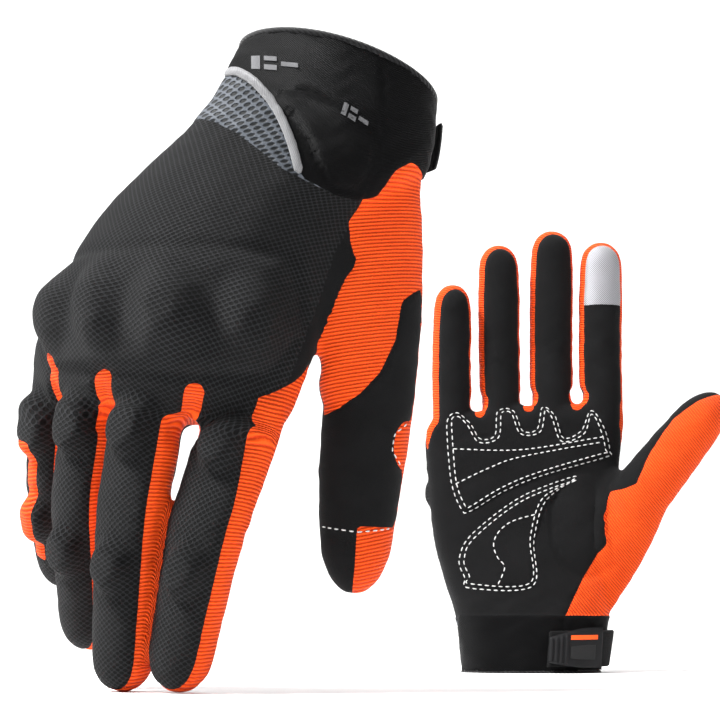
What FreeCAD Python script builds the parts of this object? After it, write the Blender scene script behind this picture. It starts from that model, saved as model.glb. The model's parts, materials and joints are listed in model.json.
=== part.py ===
"""A pair of short-cuff knit riding gloves, standing for display at their real size.

Both gloves are right-hand ones of one design.  The near glove hangs fingers down with the
back of the hand to the front (-Y).  The far glove stands on its cuff, palm to the front.

Each glove is drawn in its own axes, in millimetres:
  a  across the hand, growing towards the thumb
  u  along the hand, growing from the cuff towards the fingertips
  n  out of the hand, growing from the palm side towards the back of the hand
"""
import FreeCAD, Part
import math
import os

from FreeCAD import Vector

os.makedirs("parts", exist_ok=True)

# ---------------------------------------------------------------- driving dimensions (mm)
WALL = 2.2                # cloth plus lining of a panel or a finger
SEAM = 0.4                # clearance between two sewn pieces
SEAM_ANGLE = 2.0          # the same clearance where two half shells meet, in degrees
DISPLAY_HEIGHT = 254.0    # level of the near glove's own u = 0 above the floor
GLOVE_SPACING = 290.0     # from the near glove's mid plane back to the far glove's

KNUCKLE_FLEX = 60.0       # travel of a finger at its root, degrees
FINGER_FLEX = 75.0        # travel of a finger at its middle joint, degrees
THUMB_FLEX = 30.0         # travel of the thumb at its root, degrees
THUMB_TIP_FLEX = 45.0     # travel of the thumb at its middle joint, degrees
MITRE_MARGIN = 5.0        # extra cut-back of each palm side at a joint, degrees

HAND_END_CLEARANCE = 2.0  # from the finger hinge line back to the hand shell
ROOT_CLEARANCE = 1.5      # from the finger hinge line on to the finger
JOINT_CLEARANCE = 0.9     # each side of a middle joint
OVERLAY_LIFT = 0.9        # from the hand shell up to a piece sewn on top of it
WEB_CLEARANCE = 1.2       # from a finger web to the panels it stands between

SECTION_POINTS = 16       # facets round a finger
HAND_STEPS = 14           # facets across one face of the hand
SQUARENESS = 0.75         # below 1, a hand section is fuller than an ellipse
THUMB_WINDOW = 24.0       # the panels stop this many degrees short of the thumb-side edge

PATCH_THICK = 1.2         # palm reinforcement
GUARD_THICK = 3.0         # knuckle armour between its domes
GUARD_DOME = 6.0          # extra height of one dome
INSERT_THICK = 2.4        # stretch mesh at the wrist
PIPING_THICK = 2.6        # cord trim along the stretch mesh
LOOP_THICK = 0.8          # loop tape on the cuff
HOOK_THICK = 0.8          # hook tape under the strap
STRAP_THICK = 2.0         # wrist strap
TAB_THICK = 2.2           # moulded pull tab on the strap's free end
PAD_THICK = 0.6           # conductive pad on the index fingertip

# name: length to the middle joint, length to the tip, half width, half thickness
DIGITS = {
    "index": (34.0, 95.0, 12.4, 11.2),
    "middle": (36.0, 102.0, 12.5, 11.4),
    "ring": (34.0, 96.0, 12.0, 11.0),
    "little": (26.0, 75.0, 11.2, 10.2),
    "thumb": (30.0, 69.0, 13.5, 12.5),
}

# ---------------------------------------------------------------- how each glove is posed
# A hand row is: little-side edge (a, u), thumb-side edge (a, u), bow of the row towards the
# fingertips, lift of its middle, drop of its little-side and thumb-side edges, half
# thickness to the back and to the palm.  Rows: rim, wrist, palm, knuckles, finger roots.
# A digit is: root (a, u, n), direction to its middle joint, direction to its tip.
NEAR = {
    "rows": [
        (-46.0, 9.0, 29.0, 30.0, -4.0, 0.0, 0.0, 0.0, 29.0, 29.0),
        (-62.0, 38.0, 24.0, 58.0, 0.0, 0.0, 2.0, 2.0, 26.0, 26.0),
        (-100.0, 76.0, -2.0, 84.0, 0.0, 5.0, 20.0, 6.0, 20.0, 20.0),
        (-125.0, 116.0, -15.0, 122.0, 2.0, 7.0, 44.0, 8.0, 16.0, 17.0),
        (-129.0, 142.0, -28.0, 160.0, 1.0, 2.0, 52.0, 4.0, 12.5, 12.5),
    ],
    "crest": 0.62,
    "knuckle_axis": Vector(0.89, 0.10, 0.44),
    "thumb_axis": Vector(0.98, 0.05, -0.05),
    "digits": {
        "index": (Vector(-45, 160, 1), Vector(-0.32, 1, 0.00), Vector(-0.20, 1, -0.16)),
        "middle": (Vector(-79, 152, -4), Vector(-0.15, 1, -0.08), Vector(-0.06, 1, -0.22)),
        "ring": (Vector(-102, 148, -20), Vector(-0.15, 1, -0.20), Vector(0.00, 1, -0.50)),
        "little": (Vector(-121, 146, -41), Vector(-0.09, 1, -0.30), Vector(0.02, 1, -0.70)),
        "thumb": (Vector(3, 148, -12), Vector(-0.11, 1, -0.05), Vector(-0.06, 1, -0.10)),
    },
    "section_roll": {"index": -4, "middle": 2, "ring": 8, "little": 18, "thumb": 0},
}
FAR = {
    "rows": [
        (58.0, 0.0, 134.0, 0.0, 0.0, 0.0, 0.0, 0.0, 27.0, 27.0),
        (55.0, 28.0, 140.0, 30.0, 0.0, 0.0, 2.0, 2.0, 24.0, 24.0),
        (43.0, 72.0, 146.0, 76.0, 0.0, 3.0, 6.0, 4.0, 19.0, 19.0),
        (38.5, 118.0, 150.0, 118.0, 3.0, 4.0, 10.0, 5.0, 16.0, 17.0),
        (38.0, 141.5, 155.0, 151.0, 5.0, 0.0, 8.0, 3.0, 12.5, 12.5),
    ],
    "crest": 0.62,
    "knuckle_axis": Vector(1.0, 0.0, 0.08),
    "thumb_axis": Vector(0.74, -0.59, -0.30),
    "digits": {
        "index": (Vector(140.5, 153, -2), Vector(0.01, 1, -0.04), Vector(0.02, 1, -0.14)),
        "middle": (Vector(112, 153.5, 1), Vector(0.01, 1, -0.04), Vector(0.02, 1, -0.14)),
        "ring": (Vector(82, 150.5, 0), Vector(-0.01, 1, -0.05), Vector(0.00, 1, -0.16)),
        "little": (Vector(53.5, 147.0, -4), Vector(-0.01, 1, -0.06), Vector(0.02, 1, -0.18)),
        "thumb": (Vector(161, 101, -14), Vector(0.80, 1, -0.25), Vector(0.84, 1, -0.20)),
    },
    "section_roll": {"index": -3, "middle": 0, "ring": 3, "little": 8, "thumb": 0},
}


# ---------------------------------------------------------------- closed solids from grids
def solid_of(points, facets):
    """One closed solid whose faces are all flat triangles."""
    shape = Part.Shape()
    shape.makeShapeFromMesh((points, facets), 0.0001)
    solid = Part.Solid(shape).removeSplitter()
    if solid.Volume < 0:
        solid.reverse()
    return solid


def quad(a, b, c, d):
    return [(a, b, c), (a, c, d)]


def sheet_solid(outer, inner, wrap=False):
    """A sheet with thickness, from two grids of the same size.

    wrap joins the last column to the first, which makes a tube open at both ends."""
    rows, columns = len(outer), len(outer[0])
    count = rows * columns
    points = [p for row in outer for p in row] + [p for row in inner for p in row]

    def at(i, j):
        return i * columns + j % columns

    facets = []
    for i in range(rows - 1):
        for j in range(columns if wrap else columns - 1):
            top = (at(i, j), at(i, j + 1), at(i + 1, j + 1), at(i + 1, j))
            facets += quad(*top)
            facets += quad(*[k + count for k in reversed(top)])
    for j in range(columns if wrap else columns - 1):
        first, second = at(0, j), at(0, j + 1)
        facets += quad(second, first, first + count, second + count)
        first, second = at(rows - 1, j), at(rows - 1, j + 1)
        facets += quad(first, second, second + count, first + count)
    if not wrap:
        for i in range(rows - 1):
            first, second = at(i, 0), at(i + 1, 0)
            facets += quad(first, second, second + count, first + count)
            first, second = at(i, columns - 1), at(i + 1, columns - 1)
            facets += quad(second, first, first + count, second + count)
    return solid_of(points, facets)


def thimble_solid(outer, inner, outer_tip, inner_tip):
    """A tube of rings that closes in a point at its far end, with an even wall."""
    rows, columns = len(outer), len(outer[0])
    count = rows * columns
    points = [p for row in outer for p in row] + [p for row in inner for p in row]
    points += [outer_tip, inner_tip]
    facets = []
    for j in range(columns):
        following = (j + 1) % columns
        for i in range(rows - 1):
            top = (i * columns + j, i * columns + following,
                   (i + 1) * columns + following, (i + 1) * columns + j)
            facets += quad(*top)
            facets += quad(*[k + count for k in reversed(top)])
        facets += quad(following, j, j + count, following + count)
        last = (rows - 1) * columns
        facets.append((last + j, last + following, 2 * count))
        facets.append((last + following + count, last + j + count, 2 * count + 1))
    return solid_of(points, facets)


# ---------------------------------------------------------------- one glove
def mix(rows, place):
    """A hand row between the listed ones, on a smooth curve through them."""
    first = min(int(place), len(rows) - 2)
    t = place - first
    nearby = [rows[min(max(k, 0), len(rows) - 1)] for k in range(first - 1, first + 3)]
    weights = (-0.5 * t + t ** 2 - 0.5 * t ** 3, 1 - 2.5 * t ** 2 + 1.5 * t ** 3,
               0.5 * t + 2 * t ** 2 - 1.5 * t ** 3, -0.5 * t ** 2 + 0.5 * t ** 3)
    return [sum(w * row[k] for w, row in zip(weights, nearby)) for k in range(len(rows[0]))]


def square_to(axis, direction):
    """The part of axis that is square to direction, as a unit vector."""
    part = axis - direction * axis.dot(direction)
    return part.normalize()


class Glove:
    """Geometry of one posed glove in its own (a, u, n) axes and in the row's frame."""

    def __init__(self, prefix, pose, upright, offset):
        self.prefix = prefix
        self.pose = pose
        self.sign = 1.0 if upright else -1.0
        self.offset = offset
        self.parts = {}

    def world(self, p):
        """Own axes to the row's frame: u runs up or down, n to the back or the front."""
        return Vector(p.x, self.sign * p.z, self.sign * p.y) + self.offset

    def add(self, node, shape_or_list):
        shapes = shape_or_list if isinstance(shape_or_list, list) else [shape_or_list]
        self.parts[self.prefix + "_" + node] = shapes

    # ---- the hand
    def middle_surface(self, row, s):
        """Point on the hand's middle surface, s from 0 at the little side to 1 at the thumb."""
        little_a, little_u, thumb_a, thumb_u, bow, lift, drop_little, drop_thumb = row[:8]
        crest = self.pose["crest"]
        if s < crest:
            drop = drop_little * ((crest - s) / crest) ** 2
        else:
            drop = drop_thumb * ((s - crest) / (1 - crest)) ** 2
        a = little_a + (thumb_a - little_a) * s
        u = little_u + (thumb_u - little_u) * s + bow * 4 * s * (1 - s)
        return Vector(a, u, lift - drop)

    def hand_point(self, place, angle, depth, notch=0.0):
        """Point of the hand section at a row place, angle in degrees from the thumb-side
        edge over the back (positive) or the palm (negative), depth below the surface."""
        row = mix(self.pose["rows"], place)
        half_width = 0.5 * math.hypot(row[2] - row[0], row[3] - row[1])
        turn = math.radians(angle)
        half_height = row[8] if angle > 0 else row[9]
        s = 0.5 + 0.5 * math.cos(turn) * (1 - depth / half_width)
        here = self.middle_surface(row, s)
        across = self.middle_surface(row, s + 0.01) - self.middle_surface(row, s - 0.01)
        normal = square_to(Vector(0, 0, 1), across.normalize())
        share = abs(math.sin(turn)) ** SQUARENESS
        height = math.copysign(share * (half_height - depth), angle)
        setback = notch * share if angle < 0 else 0.0
        return here + normal * height - self.row_direction(place) * setback

    def row_direction(self, place):
        step = 0.05
        ahead = self.middle_surface(mix(self.pose["rows"], min(place + step, 4.0)), 0.5)
        behind = self.middle_surface(mix(self.pose["rows"], max(place - step, 0.0)), 0.5)
        return (ahead - behind).normalize()

    def hand_grid(self, places, angles, depth, notch=0.0):
        """Rows of points; only the last row is set back by the notch for the fingers."""
        last = places[-1]
        return [[self.world(self.hand_point(v, t, depth, notch if v == last else 0.0))
                 for t in angles] for v in places]

    def overlay(self, places, angles, lift, thickness):
        """A sheet that lies on the hand, following its facets; thickness(i, j) or a number."""
        inner = self.hand_grid(places, angles, -lift)
        outer = []
        for i, v in enumerate(places):
            line = []
            for j, t in enumerate(angles):
                rise = thickness(i, j) if callable(thickness) else thickness
                line.append(self.world(self.hand_point(v, t, -lift - rise)))
            outer.append(line)
        return sheet_solid(outer, inner)

    # ---- a digit
    def digit_frames(self, name):
        """Origin, direction, width axis and back normal of the base and of the tip."""
        root, base_way, tip_way = self.pose["digits"][name]
        hinge = self.pose["thumb_axis" if name == "thumb" else "knuckle_axis"]
        base_way = Vector(base_way).normalize()
        tip_way = Vector(tip_way).normalize()
        knuckle = Vector(root)
        middle = knuckle + base_way * DIGITS[name][0]
        frames = []
        for origin, way in ((knuckle, base_way), (middle, tip_way)):
            width = square_to(Vector(hinge), way)
            normal = width.cross(way)
            roll = math.radians(self.pose["section_roll"][name])
            turned = width * math.cos(roll) + normal * math.sin(roll)
            frames.append((origin, way, turned, turned.cross(way), width))
        return frames

    def digit_ring(self, name, frame, distance, shrink, mitre, angles):
        """A ring of one digit.  mitre moves its palm side along the digit, in step with
        the distance below the hinge's own plane."""
        origin, way, width, normal, hinge = frame
        hinge_normal = hinge.cross(way)
        half_width = DIGITS[name][2] * shrink[0] - shrink[1]
        half_thick = DIGITS[name][3] * shrink[0] - shrink[1]
        ring = []
        for angle in angles:
            turn = math.radians(angle)
            spoke = width * (half_width * math.cos(turn)) + normal * (half_thick
                                                                      * math.sin(turn))
            reach = distance + mitre * max(0.0, -spoke.dot(hinge_normal))
            ring.append(self.world(origin + way * reach + spoke))
        return ring

    def flex(self, name):
        """Travel of a digit's root and of its middle joint, degrees."""
        return (THUMB_FLEX, THUMB_TIP_FLEX) if name == "thumb" else (KNUCKLE_FLEX, FINGER_FLEX)

    def mitre(self, name, which):
        """Slope of the palm-side cut at the root (0) or the middle joint (1)."""
        frames = self.digit_frames(name)
        bend = 0.0
        if which == 1:
            bend = math.degrees(frames[0][1].getAngle(frames[1][1]))
        return math.tan(math.radians(0.5 * (self.flex(name)[which] + bend) + MITRE_MARGIN))

    def hinge(self, name, which):
        """Position and axis, in the row's frame, of a digit's root (0) or middle (1) joint.
        A positive turn bends the digit towards the palm."""
        frame = self.digit_frames(name)[which]
        axis = self.world(frame[4]) - self.world(Vector(0, 0, 0))
        return self.world(frame[0]), axis.normalize()


# ---------------------------------------------------------------- the pieces of a glove
def spread(low, high, count):
    return [low + (high - low) * k / (count - 1) for k in range(count)]


PANEL_PLACES = [1.02, 1.25, 1.5, 1.75, 2.0, 2.25, 2.5, 2.75, 3.0, 3.25, 3.5, 3.75, 4.0]
CUFF_PLACES = [0.0, 0.25, 0.5, 0.75, 0.98]
BACK_ANGLES = spread(THUMB_WINDOW, 180 - SEAM_ANGLE, HAND_STEPS)
PALM_ANGLES = [-angle for angle in BACK_ANGLES]
CUFF_ANGLES = [15.0 * k - 180 + 7.5 for k in range(24)]


def hand_panels(glove):
    notch = DIGITS["middle"][3] * glove.mitre("middle", 0)
    stop = 4.0 - HAND_END_CLEARANCE / 30.0
    places = PANEL_PLACES[:-1] + [stop]
    for node, angles in (("back_panel", BACK_ANGLES), ("palm_panel", PALM_ANGLES)):
        outer = glove.hand_grid(places, angles, 0.0, notch)
        inner = glove.hand_grid(places, angles, WALL, notch)
        glove.add(node, sheet_solid(outer, inner))


def cuff(glove):
    outer = glove.hand_grid(CUFF_PLACES, CUFF_ANGLES, 0.0)
    inner = glove.hand_grid(CUFF_PLACES, CUFF_ANGLES, WALL)
    glove.add("cuff", sheet_solid(outer, inner, wrap=True))


def guard_height(i, j):
    """Four domes side by side over the knuckles, fading at the edges of the guard."""
    along = math.sin(math.pi * min(max((i - 0.5) / 3.0, 0.0), 1.0))
    across = abs(math.sin(math.pi * j / 2.0))
    return GUARD_THICK + GUARD_DOME * along * across


def hand_trims(glove):
    trims = {
        "knuckle_guard": (PANEL_PLACES[6:11], BACK_ANGLES[2:11], guard_height),
        "knuckle_patch": (PANEL_PLACES[7:11], PALM_ANGLES[2:12], PATCH_THICK),
        "heel_patch": (PANEL_PLACES[2:6], PALM_ANGLES[5:12], PATCH_THICK),
        "wrist_insert": (PANEL_PLACES[0:3], BACK_ANGLES[6:12], INSERT_THICK),
        "wrist_piping": (PANEL_PLACES[0:3], BACK_ANGLES[4:6], PIPING_THICK),
    }
    for node, (places, angles, thickness) in trims.items():
        glove.add(node, glove.overlay(places, angles, OVERLAY_LIFT, thickness))


def thumb_gusset(glove):
    """Tapered sleeve from the hand's thumb-side window to the thumb's root."""
    frame = glove.digit_frames("thumb")[0]
    angles = [360.0 * k / SECTION_POINTS for k in range(SECTION_POINTS)]
    lower = glove.hand_point(1.15, 0.001, 0.0)
    upper = glove.hand_point(2.95, 0.001, 0.0)
    centre = (lower + upper) * 0.5
    length = (upper - lower) * 0.5
    outwards = Vector(length.y, -length.x, 0).normalize()
    centre += outwards * 1.2
    rings = []
    for depth in (0.0, WALL):
        start = []
        for angle in angles:
            turn = math.radians(angle)
            along = length * (1 - depth / length.Length) * -math.cos(turn)
            start.append(glove.world(centre + along + Vector(0, 0, 13.0 - depth)
                                     * math.sin(turn)))
        end = glove.digit_ring("thumb", frame, -HAND_END_CLEARANCE, (1.0, depth),
                               -glove.mitre("thumb", 0), angles)
        half = [(p + q) * 0.5 for p, q in zip(start, end)]
        rings.append([start, half, end])
    glove.add("thumb_gusset", sheet_solid(rings[0], rings[1], wrap=True))


def finger_gussets(glove):
    """Webs that part the four finger sockets, and the strip beside the index finger."""
    strip_angles = spread(-THUMB_WINDOW + SEAM_ANGLE, THUMB_WINDOW - SEAM_ANGLE, 5)
    strip_places = [3.15, 3.4, 3.65, 3.85]
    strip = sheet_solid(glove.hand_grid(strip_places, strip_angles, 0.0),
                        glove.hand_grid(strip_places, strip_angles, WALL))
    solids = [strip]
    names = ["little", "ring", "middle", "index"]
    little_edge, thumb_edge = glove.pose["rows"][-1][0], glove.pose["rows"][-1][2]
    for first, second in zip(names, names[1:]):
        a = (glove.pose["digits"][first][0].x + glove.pose["digits"][second][0].x) * 0.5
        solids.append(web(glove, (a - little_edge) / (thumb_edge - little_edge)))
    glove.add("finger_gussets", solids)


def web(glove, s):
    """One upright web inside the hand, at a share s of its width, from the back panel's
    inner face to the palm panel's."""
    half_share = 0.008
    sides = []
    for share in (s - half_share, s + half_share):
        angle = math.degrees(math.acos(2 * share - 1))
        sides.append([[glove.world(glove.hand_point(place, turn, WALL + WEB_CLEARANCE))
                       for turn in (-angle, angle)] for place in (3.5, 3.75)])
    return sheet_solid(sides[0], sides[1])


def strap_angles():
    """Angles of the strap on the palm side of the cuff, from its hinge to its free end."""
    return [angle for angle in CUFF_ANGLES if -85 < angle < 0][::-1]


def strap(glove):
    places = [0.18, 0.5, 0.82]
    angles = strap_angles()
    lift = SEAM
    glove.add("loop_patch", glove.overlay(places, angles[2:], lift, LOOP_THICK))
    lift += LOOP_THICK + SEAM
    glove.add("strap_hooks", glove.overlay(places, angles[2:], lift, HOOK_THICK))
    lift += HOOK_THICK + SEAM
    glove.add("strap", glove.overlay(places, angles, lift, STRAP_THICK))
    lift += STRAP_THICK + SEAM
    glove.add("strap_tab", glove.overlay(places, angles[2:], lift, TAB_THICK))


def strap_hinge(glove):
    """Position and axis of the strap's fold at the thumb-side edge of the cuff."""
    angle = strap_angles()[0]
    low = glove.hand_point(0.18, angle, -SEAM)
    high = glove.hand_point(0.82, angle, -SEAM)
    axis = glove.world(high) - glove.world(low)
    outwards = Vector(1, 0, 0)
    palm = glove.world(Vector(0, 0, -1)) - glove.world(Vector(0, 0, 0))
    if axis.cross(palm).dot(outwards) < 0:
        axis = axis * -1
    return glove.world((low + high) * 0.5), axis.normalize()


def digit(glove, name):
    base_length, length = DIGITS[name][:2]
    base, tip = glove.digit_frames(name)
    root_mitre, tip_mitre = glove.mitre(name, 0), glove.mitre(name, 1)
    seam = SEAM_ANGLE
    halves = {"back": spread(seam, 180 - seam, 9), "palm": spread(-seam, seam - 180, 9)}
    last = base_length - JOINT_CLEARANCE
    for side, angles in halves.items():
        grids = []
        for depth in (0.0, WALL):
            grids.append([
                glove.digit_ring(name, base, ROOT_CLEARANCE, (1.0, depth), root_mitre, angles),
                glove.digit_ring(name, base, last, (0.97, depth), -tip_mitre, angles)])
        glove.add(name + "_" + side, sheet_solid(grids[0], grids[1]))
    tip_solid(glove, name, tip, length - base_length, tip_mitre)


def tip_solid(glove, name, frame, reach, mitre):
    """The closed end of a digit: it tapers a little, then rounds off."""
    angles = [360.0 * k / SECTION_POINTS for k in range(SECTION_POINTS)]
    stations = [(JOINT_CLEARANCE, 0.97, mitre), (reach * 0.45, 0.95, 0.0),
                (reach - 12.0, 0.88, 0.0), (reach - 6.0, 0.72, 0.0), (reach - 1.8, 0.40, 0.0)]
    outer = [glove.digit_ring(name, frame, d, (k, 0.0), m, angles) for d, k, m in stations]
    inner = [glove.digit_ring(name, frame, d - (WALL * 0.5 if k < 0.9 else 0.0),
                              (k, WALL if k > 0.5 else WALL * 0.6), m, angles)
             for d, k, m in stations]
    origin, way = frame[0], frame[1]
    outer_tip = glove.world(origin + way * reach)
    inner_tip = glove.world(origin + way * (reach - WALL - 0.9))
    glove.add(name + "_tip", thimble_solid(outer, inner, outer_tip, inner_tip))
    if name == "index":
        touch_pad(glove, frame, stations)


def touch_pad(glove, frame, stations):
    """Conductive patch on the palm side of the index fingertip."""
    angles = [-360.0 * k / SECTION_POINTS for k in range(2, 7)]
    grids = []
    for lift in (SEAM + PAD_THICK, SEAM):
        grids.append([glove.digit_ring("index", frame, d, (k, -lift), 0.0, angles)
                      for d, k, _ in stations[1:4]])
    glove.add("index_touch_pad", sheet_solid(grids[0], grids[1]))


def build_glove(prefix, pose, upright, offset):
    glove = Glove(prefix, pose, upright, offset)
    hand_panels(glove)
    cuff(glove)
    hand_trims(glove)
    thumb_gusset(glove)
    finger_gussets(glove)
    strap(glove)
    for name in DIGITS:
        digit(glove, name)
    return glove


def centre_on_floor(gloves):
    """Move both gloves so that the origin is under the middle of the pair, on the floor."""
    box = FreeCAD.BoundBox()
    for glove in gloves:
        low = min(s.BoundBox.ZMin for shapes in glove.parts.values() for s in shapes)
        glove.offset = glove.offset - Vector(0, 0, low)
        for shapes in glove.parts.values():
            for shape in shapes:
                shape.translate(Vector(0, 0, -low))
                box.add(shape.BoundBox)
    shift = Vector(-box.Center.x, -box.Center.y, 0)
    for glove in gloves:
        glove.offset = glove.offset + shift
        for shapes in glove.parts.values():
            for shape in shapes:
                shape.translate(shift)


near = build_glove("near", NEAR, False, Vector(0, 0, DISPLAY_HEIGHT))
far = build_glove("far", FAR, True, Vector(0, GLOVE_SPACING, 0))
centre_on_floor((near, far))

for built in (near, far):
    for node, shapes in built.parts.items():
        shape = shapes[0] if len(shapes) == 1 else Part.makeCompound(shapes)
        shape.exportStep("parts/" + node + ".step")
        if not shape.isValid() or any(s.Volume <= 0 for s in shapes):
            print("not a good solid:", node)
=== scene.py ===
import json
import math

import bmesh
import bpy
import numpy as np
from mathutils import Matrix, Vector
from mathutils.bvhtree import BVHTree
from mathutils.kdtree import KDTree

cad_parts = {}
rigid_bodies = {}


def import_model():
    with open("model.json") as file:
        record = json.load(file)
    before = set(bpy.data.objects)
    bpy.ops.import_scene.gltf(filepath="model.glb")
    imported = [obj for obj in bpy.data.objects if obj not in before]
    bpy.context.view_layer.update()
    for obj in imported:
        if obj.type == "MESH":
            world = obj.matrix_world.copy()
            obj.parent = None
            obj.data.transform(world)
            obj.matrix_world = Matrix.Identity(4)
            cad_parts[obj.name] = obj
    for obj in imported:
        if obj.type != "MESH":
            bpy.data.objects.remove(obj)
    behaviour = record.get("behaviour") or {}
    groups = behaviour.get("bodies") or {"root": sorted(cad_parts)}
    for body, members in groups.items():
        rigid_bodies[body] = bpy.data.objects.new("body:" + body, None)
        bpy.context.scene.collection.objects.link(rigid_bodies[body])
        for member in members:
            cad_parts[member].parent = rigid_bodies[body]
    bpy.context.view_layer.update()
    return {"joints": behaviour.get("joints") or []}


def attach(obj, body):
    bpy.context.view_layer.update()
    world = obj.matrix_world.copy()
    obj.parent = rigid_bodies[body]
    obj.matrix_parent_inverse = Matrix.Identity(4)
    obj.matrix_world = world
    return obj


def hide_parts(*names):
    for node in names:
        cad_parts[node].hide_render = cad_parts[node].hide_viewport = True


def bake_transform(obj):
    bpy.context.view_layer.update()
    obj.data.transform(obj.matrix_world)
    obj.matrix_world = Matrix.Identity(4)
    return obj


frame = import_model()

# ---------------------------------------------------------------- sizes
# Each glove is drawn in its own millimetres: a across the hand towards the thumb, u along
# it towards the fingertips, n out of the back of the hand.
MM = 0.001
VOXEL = 1.25              # grid of the skin's surface
SQUARENESS = 0.75         # below 1, a hand section is fuller than an ellipse
MIDDLE_BEND = 9.0         # a finger bends over this length each side of its middle joint
ROOT_BEND = 14.0          # and over this length beyond its root
ROOT_CUT = 1.0            # where a finger's skin parts from the hand's, past the root
KNIT_EDGE = 0.94          # share of the hand's width where the knit meets plain suede
SILVER_REACH = 38.0       # length of the silver pad on the index fingertip
ROOTS = 4.0               # number of the hand row at the finger roots
BEYOND_ROOTS = 30.0       # millimetres of finger counted as one more hand row
SLEEVE_FLAT = (90.0, 60.0)    # flat coordinates of the thumb's root
OFF = -9.0                # value of a cloth's field well outside it
STITCH_STEP = 0.65        # spacing of the points along a row of stitches
FLAT_SCALE = 0.01         # flat coordinates are stored in units of 100 mm
DOME_RISE = 6.6           # of the knuckle domes over the guard's plate
PLATE_RISE = 2.2          # of the guard's plate over the cloth
CROTCH_DEPTH = 3.2        # of the groove between two fingers at their roots
WRINKLE = 0.55            # height of the creases in the cloth
SMALLEST_PIECE = 12       # a cloth piece of fewer faces is a sliver of a cut, left out

# name: length to the middle joint, length to the tip, half width, half thickness
DIGITS = {
    "index": (34.0, 95.0, 12.8, 11.4),
    "middle": (36.0, 102.0, 12.9, 11.6),
    "ring": (34.0, 96.0, 12.4, 11.2),
    "little": (26.0, 75.0, 11.5, 10.4),
    "thumb": (30.0, 69.0, 14.0, 12.7),
}
NAMES = list(DIGITS)
FINGERS = ["little", "ring", "middle", "index"]

# A hand row: little-side edge (a, u), thumb-side edge (a, u), bow, lift, drop of the two
# edges, half thickness to the back and to the palm.  Rows: rim, wrist, palm, knuckles, roots.
NEAR = {
    "rows": [
        (-46.0, 9.0, 29.0, 30.0, -4.0, 0.0, 0.0, 0.0, 29.0, 29.0),
        (-62.0, 38.0, 24.0, 58.0, 0.0, 0.0, 2.0, 2.0, 26.0, 26.0),
        (-100.0, 76.0, -2.0, 84.0, 0.0, 5.0, 20.0, 6.0, 20.0, 20.0),
        (-125.0, 116.0, -15.0, 122.0, 2.0, 7.0, 44.0, 8.0, 16.0, 17.0),
        (-129.0, 142.0, -28.0, 160.0, 1.0, -1.5, 52.0, 1.0, 12.5, 12.5),
    ],
    "crest": 0.62,
    "knuckle_axis": Vector((0.89, 0.10, 0.44)),
    "thumb_axis": Vector((0.98, 0.05, -0.05)),
    "digits": {
        "index": (Vector((-45, 160, 1)), Vector((-0.32, 1, 0.00)), Vector((-0.20, 1, -0.16))),
        "middle": (Vector((-79, 152, -4)), Vector((-0.15, 1, -0.08)), Vector((-0.06, 1, -0.22))),
        "ring": (Vector((-102, 148, -20)), Vector((-0.15, 1, -0.20)), Vector((0.00, 1, -0.50))),
        "little": (Vector((-121, 146, -41)), Vector((-0.09, 1, -0.30)), Vector((0.02, 1, -0.70))),
        "thumb": (Vector((3, 148, -12)), Vector((-0.11, 1, -0.05)), Vector((-0.06, 1, -0.10))),
    },
    "section_roll": {"index": -4, "middle": 2, "ring": 8, "little": 18, "thumb": 0},
    "flare": {"index": 1.24, "middle": 1.14, "ring": 1.04, "little": 1.06, "thumb": 1.22},
}
FAR = {
    "rows": [
        (58.0, 0.0, 134.0, 0.0, 0.0, 0.0, 0.0, 0.0, 27.0, 27.0),
        (55.0, 28.0, 140.0, 30.0, 0.0, 0.0, 2.0, 2.0, 24.0, 24.0),
        (43.0, 72.0, 146.0, 76.0, 0.0, 3.0, 6.0, 4.0, 19.0, 19.0),
        (38.5, 118.0, 150.0, 118.0, 3.0, 4.0, 10.0, 5.0, 16.0, 17.0),
        (38.0, 141.5, 155.0, 151.0, 5.0, 0.0, 8.0, 3.0, 12.5, 12.5),
    ],
    "crest": 0.62,
    "knuckle_axis": Vector((1.0, 0.0, 0.08)),
    "thumb_axis": Vector((0.74, -0.59, -0.30)),
    "digits": {
        "index": (Vector((140.5, 153, -2)), Vector((0.01, 1, -0.04)), Vector((0.02, 1, -0.14))),
        "middle": (Vector((112, 153.5, 1)), Vector((0.01, 1, -0.04)), Vector((0.02, 1, -0.14))),
        "ring": (Vector((82, 150.5, 0)), Vector((-0.01, 1, -0.05)), Vector((0.00, 1, -0.16))),
        "little": (Vector((53.5, 147, -4)), Vector((-0.01, 1, -0.06)), Vector((0.02, 1, -0.18))),
        "thumb": (Vector((161, 101, -14)), Vector((0.80, 1, -0.25)), Vector((0.84, 1, -0.20))),
    },
    "section_roll": {"index": -3, "middle": 0, "ring": 3, "little": 8, "thumb": 0},
    "flare": {"index": 0.98, "middle": 0.98, "ring": 0.98, "little": 1.00, "thumb": 1.16},
}

# Outlines on the back are in the near glove's own (a, u), those on the palm in the far one's:
# CUFF_EDGE, MESH_EDGE, FLAP, DOMES and GUARD on the back, PATCH and HEEL on the palm.
# GUSSET_EDGE is on the back too, as (u, a).
CUFF_EDGE = [(-75, 16), (-51, 22), (-44, 26), (-36, 34), (-29, 44), (-24, 56), (-22, 68),
             (-12, 73), (-4, 74), (4, 71), (11, 62), (18, 58), (24, 60), (40, 66)]
MESH_EDGE = [(-78, 37), (-60, 41), (-52, 45), (-43, 51), (-35, 58), (-28, 65), (-19, 70),
             (-10, 74)]
GUSSET_EDGE = [(60, 8), (66, 2), (74, -2), (81, -7), (94, -9), (109, -12), (125, -17),
               (140, -20), (150, -24)]
FLAP = [(-31, 39), (-27, 36), (-18, 37), (-6, 42), (5, 52), (3, 60), (-4, 70), (-12, 70),
        (-16, 62), (-18, 54), (-24, 45)]
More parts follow.
